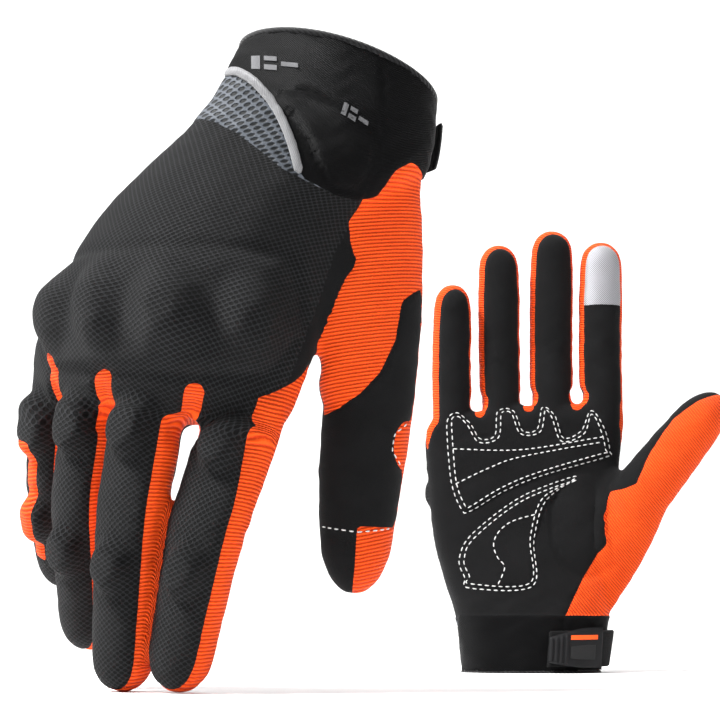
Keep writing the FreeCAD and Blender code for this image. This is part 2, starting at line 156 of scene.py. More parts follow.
# Knuckle domes: centre (a, u), half width, half length.
DOMES = [((-106, 112), 10, 17), ((-88, 113), 10, 18), ((-66, 116), 12, 19),
         ((-41, 120), 12, 19)]
GUARD = [(-122, 96), (-100, 92), (-30, 98), (-25, 122), (-36, 137), (-62, 138), (-84, 136),
         (-110, 132)]
PATCH = [(55, 90), (49, 107), (48, 138), (54, 145), (61, 139), (66, 130), (75, 132),
         (78, 146), (87, 147), (92, 135), (101, 136), (105, 149), (112, 144), (117, 131),
         (128, 135), (134, 147), (142, 136), (145, 124), (142, 120), (102, 109), (79, 100),
         (60, 89)]
PATCH_LINES = [[(50, 124), (91, 124), (143, 132)],
               [(51, 104), (70, 113), (91, 120), (143, 129)]]
HEEL = [(125, 109), (90, 97), (61, 76), (54, 62), (57, 52), (60, 46), (95, 47), (97, 73),
        (105, 95)]
HEEL_LINES = [[(98, 87), (84, 83), (76, 77), (73, 70), (75, 63), (79, 57), (74, 46)]]
# Finger pads: distance of the centre from the root, in millimetres and as a share of the
# finger's length to add to it, then half width, half length and height.
PADS = [(5.0, 0.0, 8.5, 11.5, 4.8), (0.0, 0.53, 7.8, 10.5, 4.6)]
# Edges of the orange on the thumb, as (distance along it, distance across it).
THUMB_PALM = [(0, 3), (17, 8), (41, 11), (58, 6), (70, 0)]
SLEEVE_PALM = [(-60, 40), (-30, 30), (-8, 8), (0, 3)]
THUMB_BACK = [(-50, 22), (-47, 14), (-41, 8), (-26, 7), (-13, 2.5), (-4, -4.5), (1, -11),
              (6, -19)]
GUSSET_PALM = [(28, 112), (48, 124), (74, 141), (97, 153), (112, 160)]    # (u, a)


# ---------------------------------------------------------------- the posed glove as a form
def mix(rows, place):
    """A hand row between the listed ones, on a smooth curve through them."""
    first = min(int(place), len(rows) - 2)
    t = place - first
    nearby = [rows[min(max(k, 0), len(rows) - 1)] for k in range(first - 1, first + 3)]
    weights = (-0.5 * t + t ** 2 - 0.5 * t ** 3, 1 - 2.5 * t ** 2 + 1.5 * t ** 3,
               0.5 * t + 2 * t ** 2 - 1.5 * t ** 3, -0.5 * t ** 2 + 0.5 * t ** 3)
    return [sum(w * row[k] for w, row in zip(weights, nearby)) for k in range(len(rows[0]))]


def square_to(axis, direction):
    return (axis - direction * axis.dot(direction)).normalized()


def middle_surface(pose, place, s):
    """Point on the hand's middle surface, s from 0 at the little side to 1 at the thumb."""
    row = mix(pose["rows"], place)
    little_a, little_u, thumb_a, thumb_u, bow, lift, drop_little, drop_thumb = row[:8]
    crest = pose["crest"]
    if s < crest:
        drop = drop_little * ((crest - s) / crest) ** 2
    else:
        drop = drop_thumb * ((s - crest) / (1 - crest)) ** 2
    u = little_u + (thumb_u - little_u) * s + bow * 4 * s * (1 - s)
    return Vector((little_a + (thumb_a - little_a) * s, u, lift - drop))


def surface_normal(pose, place, s):
    across = middle_surface(pose, place, s + 0.01) - middle_surface(pose, place, s - 0.01)
    return square_to(Vector((0, 0, 1)), across.normalized())


def hand_point(pose, place, angle, lift=0.0):
    """Point of a hand section; angle in degrees from the thumb-side edge over the back
    (positive) or the palm (negative).  Returns the point, its share s and its height."""
    row = mix(pose["rows"], place)
    half_width = 0.5 * math.hypot(row[2] - row[0], row[3] - row[1])
    turn = math.radians(angle)
    s = 0.5 + 0.5 * math.cos(turn) * (1 + lift / half_width)
    share = abs(math.sin(turn)) ** SQUARENESS
    height = math.copysign(share * ((row[8] if angle > 0 else row[9]) + lift), angle)
    return middle_surface(pose, place, s) + surface_normal(pose, place, s) * height, s, height


class Glove:
    def __init__(self, prefix, pose, sign):
        self.prefix = prefix
        self.pose = pose
        self.sign = sign
        joints = {joint["name"]: joint for joint in frame["joints"]}
        root = Vector(joints[prefix + "_middle_knuckle"]["pos_m"])
        self.offset = root - self.turn(pose["digits"]["middle"][0]) * MM

    def turn(self, p):
        return Vector((p.x, self.sign * p.z, self.sign * p.y))

    def world(self, p):
        return self.turn(p) * MM + self.offset

    def local(self, point):
        """A world point in the glove's own millimetres."""
        p = (point - self.offset) / MM
        return Vector((p.x, self.sign * p.z, self.sign * p.y))

    def at_rim(self, point):
        """Whether a point lies on the flat end of the form, where the glove is open."""
        p = self.local(point)
        row = self.pose["rows"][0]
        share = (p.x - row[0]) / (row[2] - row[0])
        return p.y < middle_surface(self.pose, 0.0, share).y + 1.2

    def sleeve_place(self, point):
        """Flat coordinates of the thumb's sleeve, counted along the thumb's own direction."""
        reach = self.local(point) - self.pose["digits"]["thumb"][0]
        _, way, width, _ = self.station("thumb", 0.0)
        return SLEEVE_FLAT[0] + reach.dot(width), SLEEVE_FLAT[1] + reach.dot(way)

    def axes(self, name):
        """Root, middle joint and the two directions, width axes and normals of a digit."""
        root, base_way, tip_way = self.pose["digits"][name]
        hinge = self.pose["thumb_axis" if name == "thumb" else "knuckle_axis"]
        base_way, tip_way = base_way.normalized(), tip_way.normalized()
        roll = math.radians(self.pose["section_roll"][name])
        frames = []
        for way in (base_way, tip_way):
            width = square_to(hinge, way)
            frames.append((way, width * math.cos(roll) + width.cross(way) * math.sin(roll)))
        return root, root + base_way * DIGITS[name][0], frames

    def station(self, name, d):
        """Centre, direction, width axis and normal of a digit at a distance from its root."""
        root, middle, ((base_way, base_width), (tip_way, tip_width)) = self.axes(name)
        past = d - DIGITS[name][0]
        t = min(max((past + MIDDLE_BEND) / (2 * MIDDLE_BEND), 0.0), 1.0)
        if past <= -MIDDLE_BEND:
            centre = root + base_way * d
        elif past >= MIDDLE_BEND:
            centre = middle + tip_way * past
        else:
            start, end = middle - base_way * MIDDLE_BEND, middle + tip_way * MIDDLE_BEND
            centre = start * (1 - t) ** 2 + middle * (2 * t * (1 - t)) + end * t ** 2
        way = (base_way * (1 - t) + tip_way * t).normalized()
        width = square_to(base_width * (1 - t) + tip_width * t, way)
        return centre, way, width, width.cross(way)

    def digit_size(self, name, d):
        """Half width and half thickness of a digit at a distance from its root."""
        _, length, half_width, half_thick = DIGITS[name]
        flare = self.pose["flare"][name]
        tip = 0.80 if name == "thumb" else 0.90
        half_way = 0.6 * flare + 0.4
        stations = [-26, -12, 4, 0.38 * length, 0.66 * length, length - 18, length]
        taper = np.interp(d, stations, [0.90, flare, flare, half_way, 1.0, 0.96, tip])
        swell = np.interp(d, stations, [0.60, 0.98, 1.03, 1.0, 1.0, 0.96, 0.88])
        cap = 19.0 if name == "thumb" else 14.0
        t = min(max((d - (length - cap)) / cap, 0.0), 1.0)
        cap_share = math.sqrt(max(1 - t ** 2.3, 0.0))
        return half_width * taper * cap_share, half_thick * swell * cap_share

    def digit_point(self, name, d, turn):
        centre, _, width, normal = self.station(name, d)
        half_width, half_thick = self.digit_size(name, d)
        w, h = half_width * math.cos(turn), half_thick * math.sin(turn)
        return centre + width * w + normal * h, w, h


# ---------------------------------------------------------------- small helpers
def link(obj):
    bpy.context.scene.collection.objects.link(obj)
    return obj


def face_outwards(mesh):
    bm = bmesh.new()
    bm.from_mesh(mesh)
    bmesh.ops.recalc_face_normals(bm, faces=bm.faces)
    bm.to_mesh(mesh)
    bm.free()


def mesh_object(name, points, faces, material, flat=None, smooth=True, outwards=False):
    """A linked object; flat holds one pair of flat coordinates in millimetres per point."""
    mesh = bpy.data.meshes.new(name)
    mesh.from_pydata([tuple(p) for p in points], [], faces)
    mesh.update()
    if smooth:
        mesh.polygons.foreach_set("use_smooth", [True] * len(mesh.polygons))
    mesh.materials.append(material)
    if outwards:
        face_outwards(mesh)
    if flat:
        uv = mesh.uv_layers.new(name="flat")
        for loop in mesh.loops:
            x, y = flat[loop.vertex_index]
            uv.data[loop.index].uv = (x * FLAT_SCALE, y * FLAT_SCALE)
    return link(bpy.data.objects.new(name, mesh))


def ring_faces(rows, count, first=0, closed=False, caps=True):
    """Faces of a skin over rings of count points, the first point having a given number."""
    faces = []
    for i in range(rows if closed else rows - 1):
        low, high = first + i * count, first + (i + 1) % rows * count
        for j in range(count):
            k = (j + 1) % count
            faces.append((low + j, low + k, high + k, high + j))
    if caps and not closed:
        last = first + (rows - 1) * count
        faces.append(tuple(range(first + count - 1, first - 1, -1)))
        faces.append(tuple(range(last, last + count)))
    return faces


def read(items, key, width, kind=float):
    """One attribute of every item of a mesh, as rows of numbers."""
    values = np.zeros(len(items) * width, kind)
    items.foreach_get(key, values)
    return values.reshape(-1, width)


# ---------------------------------------------------------------- the skin of one glove
def hand_rings(glove):
    angles = [-180 + 360 * (k + 0.5) / 96 for k in range(96)]
    places = np.linspace(0.0, 4.05, 60)
    shrink = [-5.0 * min(max((v - 3.5) / 0.55, 0.0), 1.0) ** 2 for v in places]
    return [[glove.world(hand_point(glove.pose, v, t, by)[0]) for t in angles]
            for v, by in zip(places, shrink)]


def digit_rings(glove, name):
    length = DIGITS[name][1]
    turns = [2 * math.pi * k / 40 for k in range(40)]
    distances = list(np.linspace(-26, length - 14, 56)) + [
        length - 14 * (1 - math.sin(math.pi / 2 * k / 12)) for k in range(1, 12)]
    return [[glove.world(glove.digit_point(name, d, t)[0]) for t in turns] for d in distances]


def gusset_form(glove, t, turn):
    """Point on the sleeve from the hand's thumb side (t = 0) to the thumb's root (t = 1)."""
    low = hand_point(glove.pose, 1.0, 0.001)[0]
    high = hand_point(glove.pose, 3.0, 0.001)[0]
    centre = (low + high) * 0.5
    half = (high - low) * 0.5
    outwards = Vector((half.y, -half.x, 0)).normalized()
    sunk, half_depth, widening, swell = 12, 13.5, 11.0, 8.0
    centre = centre - outwards * sunk
    start = centre - half * math.cos(turn) + Vector((0, 0, half_depth)) * math.sin(turn)
    start = start + outwards * (widening * max(math.cos(turn), 0.0))
    end = glove.digit_point("thumb", 0.0, turn)[0]
    ease = t * t * (3 - 2 * t)
    bulge = outwards * (swell * math.sin(math.pi * t))
    side = max(0.0, 0.4 - math.cos(turn)) * (1 - ease) + 0.35 * max(0.0, math.cos(turn))
    return start * (1 - t) + end * t + bulge * side


def gusset_rings(glove):
    turns = [2 * math.pi * k / 60 for k in range(60)]
    return [[glove.world(gusset_form(glove, t, turn)) for turn in turns]
            for t in np.linspace(0, 1, 24)]


def union_mesh(glove):
    """One closed surface round the hand, the sleeve of the thumb and the five digits."""
    bm = bmesh.new()
    forms = [hand_rings(glove), gusset_rings(glove)] + [digit_rings(glove, n) for n in NAMES]
    for rings in forms:
        verts = [bm.verts.new(p) for ring in rings for p in ring]
        for face in ring_faces(len(rings), len(rings[0])):
            bm.faces.new([verts[k] for k in face])
    bmesh.ops.recalc_face_normals(bm, faces=bm.faces)
    mesh = bpy.data.meshes.new("form")
    bm.to_mesh(mesh)
    bm.free()
    obj = link(bpy.data.objects.new("form", mesh))
    remesh = obj.modifiers.new("Remesh", "REMESH")
    remesh.mode = "VOXEL"
    remesh.voxel_size = VOXEL * MM
    smooth = obj.modifiers.new("Smooth", "SMOOTH")
    smooth.factor = 0.5
    smooth.iterations = 14
    graph = bpy.context.evaluated_depsgraph_get()
    result = bpy.data.meshes.new_from_object(obj.evaluated_get(graph))
    bpy.data.objects.remove(obj)
    return result


SAMPLE_KEYS = ("d", "w", "h", "x", "y", "back_a", "back_u", "palm_a", "palm_u", "s", "place")


def flat_x(pose, place, s):
    """Flat distance across the hand from its middle, negative on the little side."""
    crest = middle_surface(pose, place, 0.5)
    return math.copysign((middle_surface(pose, place, s) - crest).length, s - 0.5)


def flat_lengths(pose, places, s):
    """Flat distances along the hand from its rim to each place."""
    path = [middle_surface(pose, v, s) for v in places]
    return np.cumsum([0.0] + [(q - p).length for p, q in zip(path, path[1:])])


def hand_samples(glove):
    """Places of the hand's surface, each with its pattern coordinates."""
    samples = []
    places = np.linspace(0.0, ROOTS, 70)
    angles = [-177 + 354 * k / 110 for k in range(111)]
    lengths = {angle: flat_lengths(glove.pose, places, 0.5 + 0.5 * math.cos(math.radians(angle)))
               for angle in angles}
    for row, v in enumerate(places):
        for angle in angles:
            point, s, height = hand_point(glove.pose, v, angle)
            back, palm = middle_surface(NEAR, v, s), middle_surface(FAR, v, s)
            y = lengths[angle][row]
            samples.append((glove.world(point), -1, (
                y - lengths[angle][-1], 0.0, height, flat_x(glove.pose, v, s), y,
                back.x, back.y, palm.x, palm.y, s, v)))
    return samples


def root_share(pose, name):
    rows = pose["rows"][-1]
    return (pose["digits"][name][0].x - rows[0]) / (rows[2] - rows[0])


def digit_samples(glove, name):
    samples = []
    length = DIGITS[name][1]
    back, palm = NEAR["digits"][name][0], FAR["digits"][name][0]
    share = root_share(glove.pose, name)
    if name == "thumb":
        x0, y0 = SLEEVE_FLAT
    else:
        x0 = flat_x(glove.pose, ROOTS, share)
        y0 = flat_lengths(glove.pose, np.linspace(0, ROOTS, 40), share)[-1]
    width = glove.pose["rows"][-1][2] - glove.pose["rows"][-1][0]
    for d in np.arange(0.5, length, 1.6):
        for k in range(32):
            point, w, h = glove.digit_point(name, d, 2 * math.pi * k / 32)
            s = 1.0 if name == "thumb" else share + w / width
            samples.append((glove.world(point), NAMES.index(name), (
                d, w, h, x0 + w, y0 + d, back.x + w, back.y + d, palm.x + w, palm.y + d,
                s, ROOTS + d / BEYOND_ROOTS)))
    return samples


def gusset_samples(glove):
    samples = []
    root, way, width, _ = glove.station("thumb", 0.0)
    for t in np.linspace(0.35, 1, 22):
        for k in range(60):
            turn = 2 * math.pi * k / 60
            point = gusset_form(glove, t, turn)
            d, w = (point - root).dot(way), (point - root).dot(width)
            samples.append((glove.world(point), NAMES.index("thumb"), (
                min(d, 0.0), w, 13.0 * math.sin(turn), SLEEVE_FLAT[0] + w, SLEEVE_FLAT[1] + d,
                0, 0, 0, 0, 1.0, 2.0)))
    return samples


def sample_skin(glove, mesh):
    """Pattern coordinates of every point of the skin, blended from the nearest samples."""
    samples = hand_samples(glove) + gusset_samples(glove)
    for name in NAMES:
        samples += digit_samples(glove, name)
    tree = KDTree(len(samples))
    for k, sample in enumerate(samples):
        tree.insert(sample[0], k)
    tree.balance()
    values = np.array([sample[2] for sample in samples])
    owner = np.array([sample[1] for sample in samples])
    count = len(mesh.vertices)
    data = np.zeros((count, len(SAMPLE_KEYS)))
    digit = np.zeros(count, int)
    for i, vertex in enumerate(mesh.vertices):
        found = tree.find_n(vertex.co, 6)
        ids = np.array([f[1] for f in found])
        near = np.array([f[2] for f in found])
        first = owner[ids[0]]
        same = (owner[ids] == NAMES.index("thumb")) == (first == NAMES.index("thumb"))
        weight = same / (near ** 2 + 1e-8)
        data[i] = weight @ values[ids] / weight.sum()
        digit[i] = first
    fields = {key: data[:, k] for k, key in enumerate(SAMPLE_KEYS)}
    fields["digit"] = digit
    return fields


# ---------------------------------------------------------------- fields over the skin
def distance_to_line(x, y, line):
    """Distance of points to a polyline."""
    best = np.full(x.shape, 1e9)
    for (x0, y0), (x1, y1) in zip(line, line[1:]):
        length = (x1 - x0) ** 2 + (y1 - y0) ** 2
        t = np.clip(((x - x0) * (x1 - x0) + (y - y0) * (y1 - y0)) / length, 0, 1)
        best = np.minimum(best, np.hypot(x - x0 - t * (x1 - x0), y - y0 - t * (y1 - y0)))
    return best


def inside(x, y, outline):
    """Signed distance to a closed outline, positive inside."""
    ring = outline + outline[:1]
    crossings = np.zeros(x.shape, int)
    for (x0, y0), (x1, y1) in zip(ring, ring[1:]):
        spans = (y0 > y) != (y1 > y)
        at = x0 + (y - y0) * (x1 - x0) / ((y1 - y0) or 1e-9)
        crossings += spans & (x < at)
    return np.where(crossings % 2 == 1, 1, -1) * distance_to_line(x, y, ring)


def step(x, low, high):
    t = np.clip((x - low) / (high - low), 0, 1)
    return t * t * (3 - 2 * t)


def along(line, value):
    """Height of a line, given as points, at each value."""
    return np.interp(value, *zip(*line))


def ridge(distance, width):
    """1 on a line and falling to 0 on both sides of it."""
    return np.exp(-(distance / width) ** 2)


def crotch_places(glove):
    """Flat x of each gap between two fingers at their roots."""
    shares = [root_share(glove.pose, name) for name in FINGERS]
    return [flat_x(glove.pose, ROOTS, 0.5 * (first + second))
            for first, second in zip(shares, shares[1:])]


def rib_field(glove, f):
    """Positive where the glove is orange ribbed knit, in millimetres."""
    d, h, w, x, s, digit = f["d"], f["h"], f["w"], f["x"], f["s"], f["digit"]
    back = h > 0
    is_thumb = digit == NAMES.index("thumb")
    finger = (digit >= 0) & ~is_thumb
    upper = 3.8 + np.where(w > 0, 0.26, 0.12) * w
    index_root = (digit == NAMES.index("index")) & (w > 0)
    upper = upper + np.where(index_root, 3.4 * np.clip(1 - d / 26, 0, 1), 0.0)
    rib = np.where(finger, np.minimum(upper - h, h + 5.6), OFF)
    for place, reach in zip(crotch_places(glove), (-21.0, -14.0, -13.0)):
        top = np.where(back, reach, -5.0)
        half = np.where(digit >= 0, 5.2, np.where(back, 3.4, 3.2))
        capsule = half - np.hypot(x - place, np.minimum(d - top - half, 0))
        gap = np.where((d < 6) & ~is_thumb, capsule, OFF)
        rib = np.maximum(rib, gap)
    hand = digit < 0
    edge = np.minimum(5.6, (d + 19) * 0.35) - np.abs(h + 1.0)
    rib = np.where(hand & (s < 0.12), np.maximum(rib, edge), rib)
    edge = np.minimum(np.minimum(8.5, (d + 30) * 0.45) - np.abs(h - 2.5), h + 5.6)
    edge = np.minimum(edge, (s - 0.86) * 45)
    rib = np.where(hand & (s > 0.8) & (d > -30), np.maximum(rib, edge), rib)
    little = digit == NAMES.index("little")
    strip = np.minimum(3.6 - np.abs(w + 1.0), np.minimum(d - 9.0, 58.0 - d))
    rib = np.where(little & back, np.maximum(rib, strip), rib)
    palm_u, palm_a = f["palm_u"], f["palm_a"]
    sleeve_palm = (palm_a - along(GUSSET_PALM, palm_u)) * 0.8
    sleeve_palm = np.where(hand & ~back & (palm_u < GUSSET_PALM[-1][0]), sleeve_palm, OFF)
    back_line = along(GUSSET_EDGE, f["back_u"])
    sleeve_back = np.where(hand & back & (f["back_u"] < 128), f["back_a"] - back_line, OFF)
    rib = np.maximum(rib, np.maximum(sleeve_palm, sleeve_back))
    thumb_palm = w + np.where(d > 0, along(THUMB_PALM, d), along(SLEEVE_PALM, d))
    thumb_palm = np.minimum(thumb_palm, 7.0 - h * 0.9 - along([(0, 0), (40, 2)], d))
    thumb_back = along(THUMB_BACK, d) - w
    tip = np.where(d > 30, np.minimum(w + 0.5, d - 43.5), OFF)
    window = 4.6 - np.hypot((d - 12) * 0.5, (w - 16) * 0.9)
    thumb_back = np.maximum(np.where(d < 6, thumb_back, OFF), np.maximum(tip, window))
    return np.where(is_thumb, np.where(back & (h > 2), thumb_back, thumb_palm), rib)


def cuff_field(f):
    """Positive on the black cuff, negative beyond its edge."""
    on_back = along(CUFF_EDGE, f["back_a"]) - f["back_u"]
    on_palm = 31.0 - f["palm_u"]
    share = step(f["h"], -7.0, 7.0)
    field = on_back * share + on_palm * (1 - share)
    return np.where(f["digit"] >= 0, OFF, field)


def mesh_field(f):
    """Positive on the grey stretch mesh at the wrist, and on the cuff beyond it."""
    field = np.minimum(along(MESH_EDGE, f["back_a"]) - f["back_u"], -14.0 - f["back_a"])
    return np.where(f["digit"] < 0, np.minimum(field, f["h"] - 1.0), OFF)


def padding(glove, f):
    """Rise of the knuckle armour and the finger pads, millimetres."""
    back = step(f["h"], 0.5, 5.0) * (f["digit"] < 0)
    rise = np.zeros(f["d"].shape)
    domes = np.zeros(f["d"].shape)
    for (a, u), half_a, half_u in DOMES:
        r = np.hypot((f["back_a"] - a) / half_a, (f["back_u"] - u) / half_u)
        domes = np.maximum(domes, 1 - step(r, 0.22, 1.05))
    edge = inside(f["back_a"], f["back_u"], GUARD)
    plate = step(edge, -3.0, 4.0)
    rise += back * (DOME_RISE * domes + PLATE_RISE * plate - 1.3 * ridge(edge + 2.0, 1.8))
    for name in FINGERS:
        mine = (f["digit"] == NAMES.index(name)) | (f["digit"] < 0)
        on_back = step(f["h"], 1.0, 6.0)
        x0 = f["x"] - flat_x(glove.pose, ROOTS, root_share(glove.pose, name))
        length = DIGITS[name][1]
        for start, share, half_w, half_d, high in PADS:
            r = np.hypot(x0 / half_w, (f["d"] - (start + share * length)) / half_d)
            rise += mine * on_back * (high * (1 - step(r, 0.62, 1.05))
                                      - 0.9 * ridge(r - 1.16, 0.12))
    groove = np.zeros(f["d"].shape)
    for place in crotch_places(glove):
        near_gap = 1 - step(np.abs(f["x"] - place), 0.5, 5.5)
        top = np.where(f["h"] > 0, -15.0, -6.0)
        near_gap = near_gap * (f["digit"] != NAMES.index("thumb"))
        groove = np.maximum(groove, near_gap * step(f["d"], top, top + 14))
    return rise - groove * CROTCH_DEPTH * (f["d"] < 8)


def relief(f, fields):
    """Rise of the finer shapes: sewn patches, creases, seams and the cuff's flap."""
    rise = np.zeros(f["d"].shape)
    palm = (f["h"] < -3) & (f["digit"] < 0)
    for outline in (PATCH, HEEL):
        field = inside(f["palm_a"], f["palm_u"], outline)
        rise += palm * (1.0 * step(field, -0.6, 1.2) - 0.5 * ridge(field, 0.9))
    mound = np.hypot((f["palm_a"] - 128) / 20, (f["palm_u"] - 82) / 30)
    rise += palm * 3.0 * (1 - step(mound, 0.2, 1.0))
    rise -= palm * 0.8 * ridge(mound - 1, 0.09)
    rise -= 0.55 * ridge(fields["rib"], 0.9)
    flap = inside(f["back_a"], f["back_u"], FLAP) * ((f["h"] > 0) & (f["digit"] < 0))
    rise += 1.1 * step(flap, -0.2, 1.8) - 0.5 * ridge(flap + 1.2, 0.8) * (flap != 0)
    rise += 0.9 * step(fields["cuff"], -0.4, 0.8)
    rise += 0.5 * step(fields["mesh"], -0.4, 0.8) * (fields["cuff"] < 0)
    return rise


def even_out(values, pairs, rounds):
    """Averages a value over neighbouring points of the skin."""
    count = len(values)
    near = np.bincount(pairs.ravel(), minlength=count)
    for _ in range(rounds):
        total = np.bincount(pairs[:, 0], values[pairs[:, 1]], count)
        total += np.bincount(pairs[:, 1], values[pairs[:, 0]], count)
        values = 0.5 * values + 0.5 * total / np.maximum(near, 1)
    return values


def wrinkles(points, f):
    """Soft creases of worn cloth, deepest where the glove bends."""
    x, y, z = (points / MM).T
    wave = np.sin(x * 0.23 + 1.7 * np.sin(z * 0.11))
    wave = wave * np.sin(z * 0.31 + 1.3 * np.sin(x * 0.09 + y * 0.2))
    fine = np.sin(z * 0.9 + 2.1 * np.sin(x * 0.35 + y * 0.3)) * 0.5
    amount = 0.25 + 0.35 * ridge(f["d"] - 30, 12) * (f["h"] < 0)
    cuff = 0.5 * (f["digit"] < 0) * (f["place"] < 1.3)
    return (wave + fine * 0.6) * (amount + cuff * 0.6)


# ---------------------------------------------------------------- cutting the skin up
def cut(bm, layer, level):
    """Splits the skin along the line where a layer's value crosses a level."""
    for edge in list(bm.edges):
        p, q = edge.verts[0][layer] - level, edge.verts[1][layer] - level
        if p * q >= 0:
            continue
        t = p / (p - q)
        if t < 0.06:
            edge.verts[0][layer] = level
        elif t > 0.94:
            edge.verts[1][layer] = level
    for edge in list(bm.edges):
        p, q = edge.verts[0][layer] - level, edge.verts[1][layer] - level
        if p * q < 0:
            _, vert = bmesh.utils.edge_split(edge, edge.verts[0], p / (p - q))
            vert[layer] = level
    for face in list(bm.faces):
        values = [v[layer] - level for v in face.verts]
        if min(values) < 0 < max(values):
            on_line = [v for v, value in zip(face.verts, values) if value == 0]
            if len(on_line) == 2:
                try:
                    bmesh.utils.face_split(face, on_line[0], on_line[1])
                except ValueError:
                    pass


def segment_field(f):
    """0 where a digit parts from the hand and 1 where its tip piece starts."""
    base = np.array([DIGITS[NAMES[max(k, 0)]][0] for k in f["digit"]])
    value = (f["d"] - ROOT_CUT) / (base - MIDDLE_BEND - ROOT_CUT)
    return np.where(f["digit"] < 0, np.minimum(value, -0.02), value)


LAYERS = ("rib", "cuff", "mesh", "h", "segment", "d", "s", "x", "y", "place")


def classify(face, layers, digit):
    """The body key and the cloth of one face."""
    def mean(key):
        return sum(v[layers[key]] for v in face.verts) / len(face.verts)

    segment = mean("segment")
    name = NAMES[digit] if digit >= 0 else None
    if name is None or segment < 0:
        body = "hand"
    else:
        body = name + ("_base" if segment < 1 else "_tip")
    if mean("cuff") > 0:
        return body, "cuff"
    if mean("mesh") > 0:
        return body, "mesh"
    if mean("rib") > 0:
        return body, "rib"
    if name == "index" and mean("h") < 0 and mean("d") > DIGITS["index"][1] - SILVER_REACH:
        return body, "silver"
    if mean("h") < 0 or name == "thumb" or (body == "hand" and mean("s") > KNIT_EDGE):
        return body, "suede"
    return body, "knit"


def build_skin(glove, materials):
    mesh = union_mesh(glove)
    f = sample_skin(glove, mesh)
    fields = {"rib": rib_field(glove, f), "cuff": cuff_field(f), "mesh": mesh_field(f)}
    points = read(mesh.vertices, "co", 3)
    normals = read(mesh.vertex_normals, "vector", 3)
    pairs = read(mesh.edges, "vertices", 2, int)
    fields = {key: even_out(value, pairs, 2) for key, value in fields.items()}
    f["x"], f["y"] = even_out(f["x"], pairs, 6), even_out(f["y"], pairs, 6)
    rise = even_out(padding(glove, f), pairs, 6) + relief(f, fields)
    rise += wrinkles(points, f) * WRINKLE
    moved = points + normals * rise[:, None] * MM
    mesh.vertices.foreach_set("co", moved.ravel())
    bm = bmesh.new()
    bm.from_mesh(mesh)
    bpy.data.meshes.remove(mesh)
    layers = {key: bm.verts.layers.float.new(key) for key in LAYERS}
    owner = bm.verts.layers.int.new("owner")
    arrays = {**f, **fields, "segment": segment_field(f)}
    for k, vert in enumerate(bm.verts):
        for key in LAYERS:
            vert[layers[key]] = arrays[key][k]
        vert[owner] = int(f["digit"][k])
    tree = BVHTree.FromBMesh(bm)
    for key, level in (("cuff", 0.0), ("mesh", 0.0), ("rib", 0.0), ("h", 0.0),
                       ("segment", 0.0), ("segment", 1.0), ("s", KNIT_EDGE)):
        cut(bm, layers[key], level)
    cut(bm, layers["d"], DIGITS["index"][1] - SILVER_REACH)
    bm.normal_update()
    cloth_pieces(glove, bm, layers, owner, materials)
    bm.free()
    return tree


def face_digit(face, owner):
    votes = [v[owner] for v in face.verts]
    return max(set(votes), key=votes.count)


def cloth_pieces(glove, bm, layers, owner, materials):
    groups = {}
    for face in bm.faces:
        if glove.at_rim(face.calc_center_median()):
            continue
        key = classify(face, layers, face_digit(face, owner))
        groups.setdefault(key, []).append(face)
    for (body, cloth), faces in sorted(groups.items()):
        if len(faces) < SMALLEST_PIECE:
            continue
        cloth_piece(glove, body, cloth, faces, layers, materials)


def cloth_piece(glove, body, cloth, faces, layers, materials):
    """One cloth piece, with the whole skin's normals, so that no seam shows at its edges."""
    index, points, normals, flat, polygons = {}, [], [], [], []
    for face in faces:
        for vert in face.verts:
            if vert in index:
                continue
            index[vert] = len(points)
            points.append(vert.co.copy())
            normals.append(vert.normal.copy())
            on_sleeve = (body, cloth) == ("hand", "rib") and vert[layers["place"]] < 3.3
            flat.append(glove.sleeve_place(vert.co) if on_sleeve
                        else (vert[layers["x"]], vert[layers["y"]]))
        polygons.append([index[vert] for vert in face.verts])
    name = "_".join((glove.prefix, body, cloth))
    obj = mesh_object(name, points, polygons, materials[cloth], flat)
    obj.data.normals_split_custom_set_from_vertices(normals)
    place_piece(glove, obj, body)


def place_piece(glove, obj, body):
    """Lets a hand or strap piece ride on its body; a digit's piece only has its transform baked in.
    """
    prefix = glove.prefix + "_"
    if body in ("hand", "strap"):
        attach(obj, prefix + body)
        return
    name, part = body.split("_")
    if part == "base":
        start, end = glove.station(name, ROOT_CUT)[0], glove.station(name, ROOT_BEND)[0]
        glove.world(start)
        glove.world(end)
        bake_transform(obj)
    else:
        base = DIGITS[name][0]
        start = glove.station(name, base - MIDDLE_BEND)[0]
        end = glove.station(name, base + MIDDLE_BEND)[0]
        glove.world(start)
        glove.world(end)
        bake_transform(obj)


REPLACED = {
    ("hand", "knit"): ("back_panel", "knuckle_guard"),
    ("hand", "suede"): ("palm_panel", "knuckle_patch", "heel_patch"),
    ("hand", "rib"): ("thumb_gusset", "finger_gussets"),
    ("hand", "mesh"): ("wrist_insert",),
    ("hand", "cuff"): ("cuff",),
    ("index_tip", "silver"): ("index_touch_pad",),
}


def replace_nodes(glove):
    """Hides the design's plain soft solids that the visible pieces stand for."""
    wanted = dict(REPLACED)
    for name in NAMES:
        cloth = "suede" if name == "thumb" else "knit"
        wanted[(name + "_base", cloth)] = (name + "_back",)
        wanted[(name + "_base", "rib")] = (name + "_palm",)
        wanted[(name + "_tip", cloth)] = (name + "_tip",)
    for (body, cloth), nodes in wanted.items():
        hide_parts(*[glove.prefix + "_" + node for node in nodes])


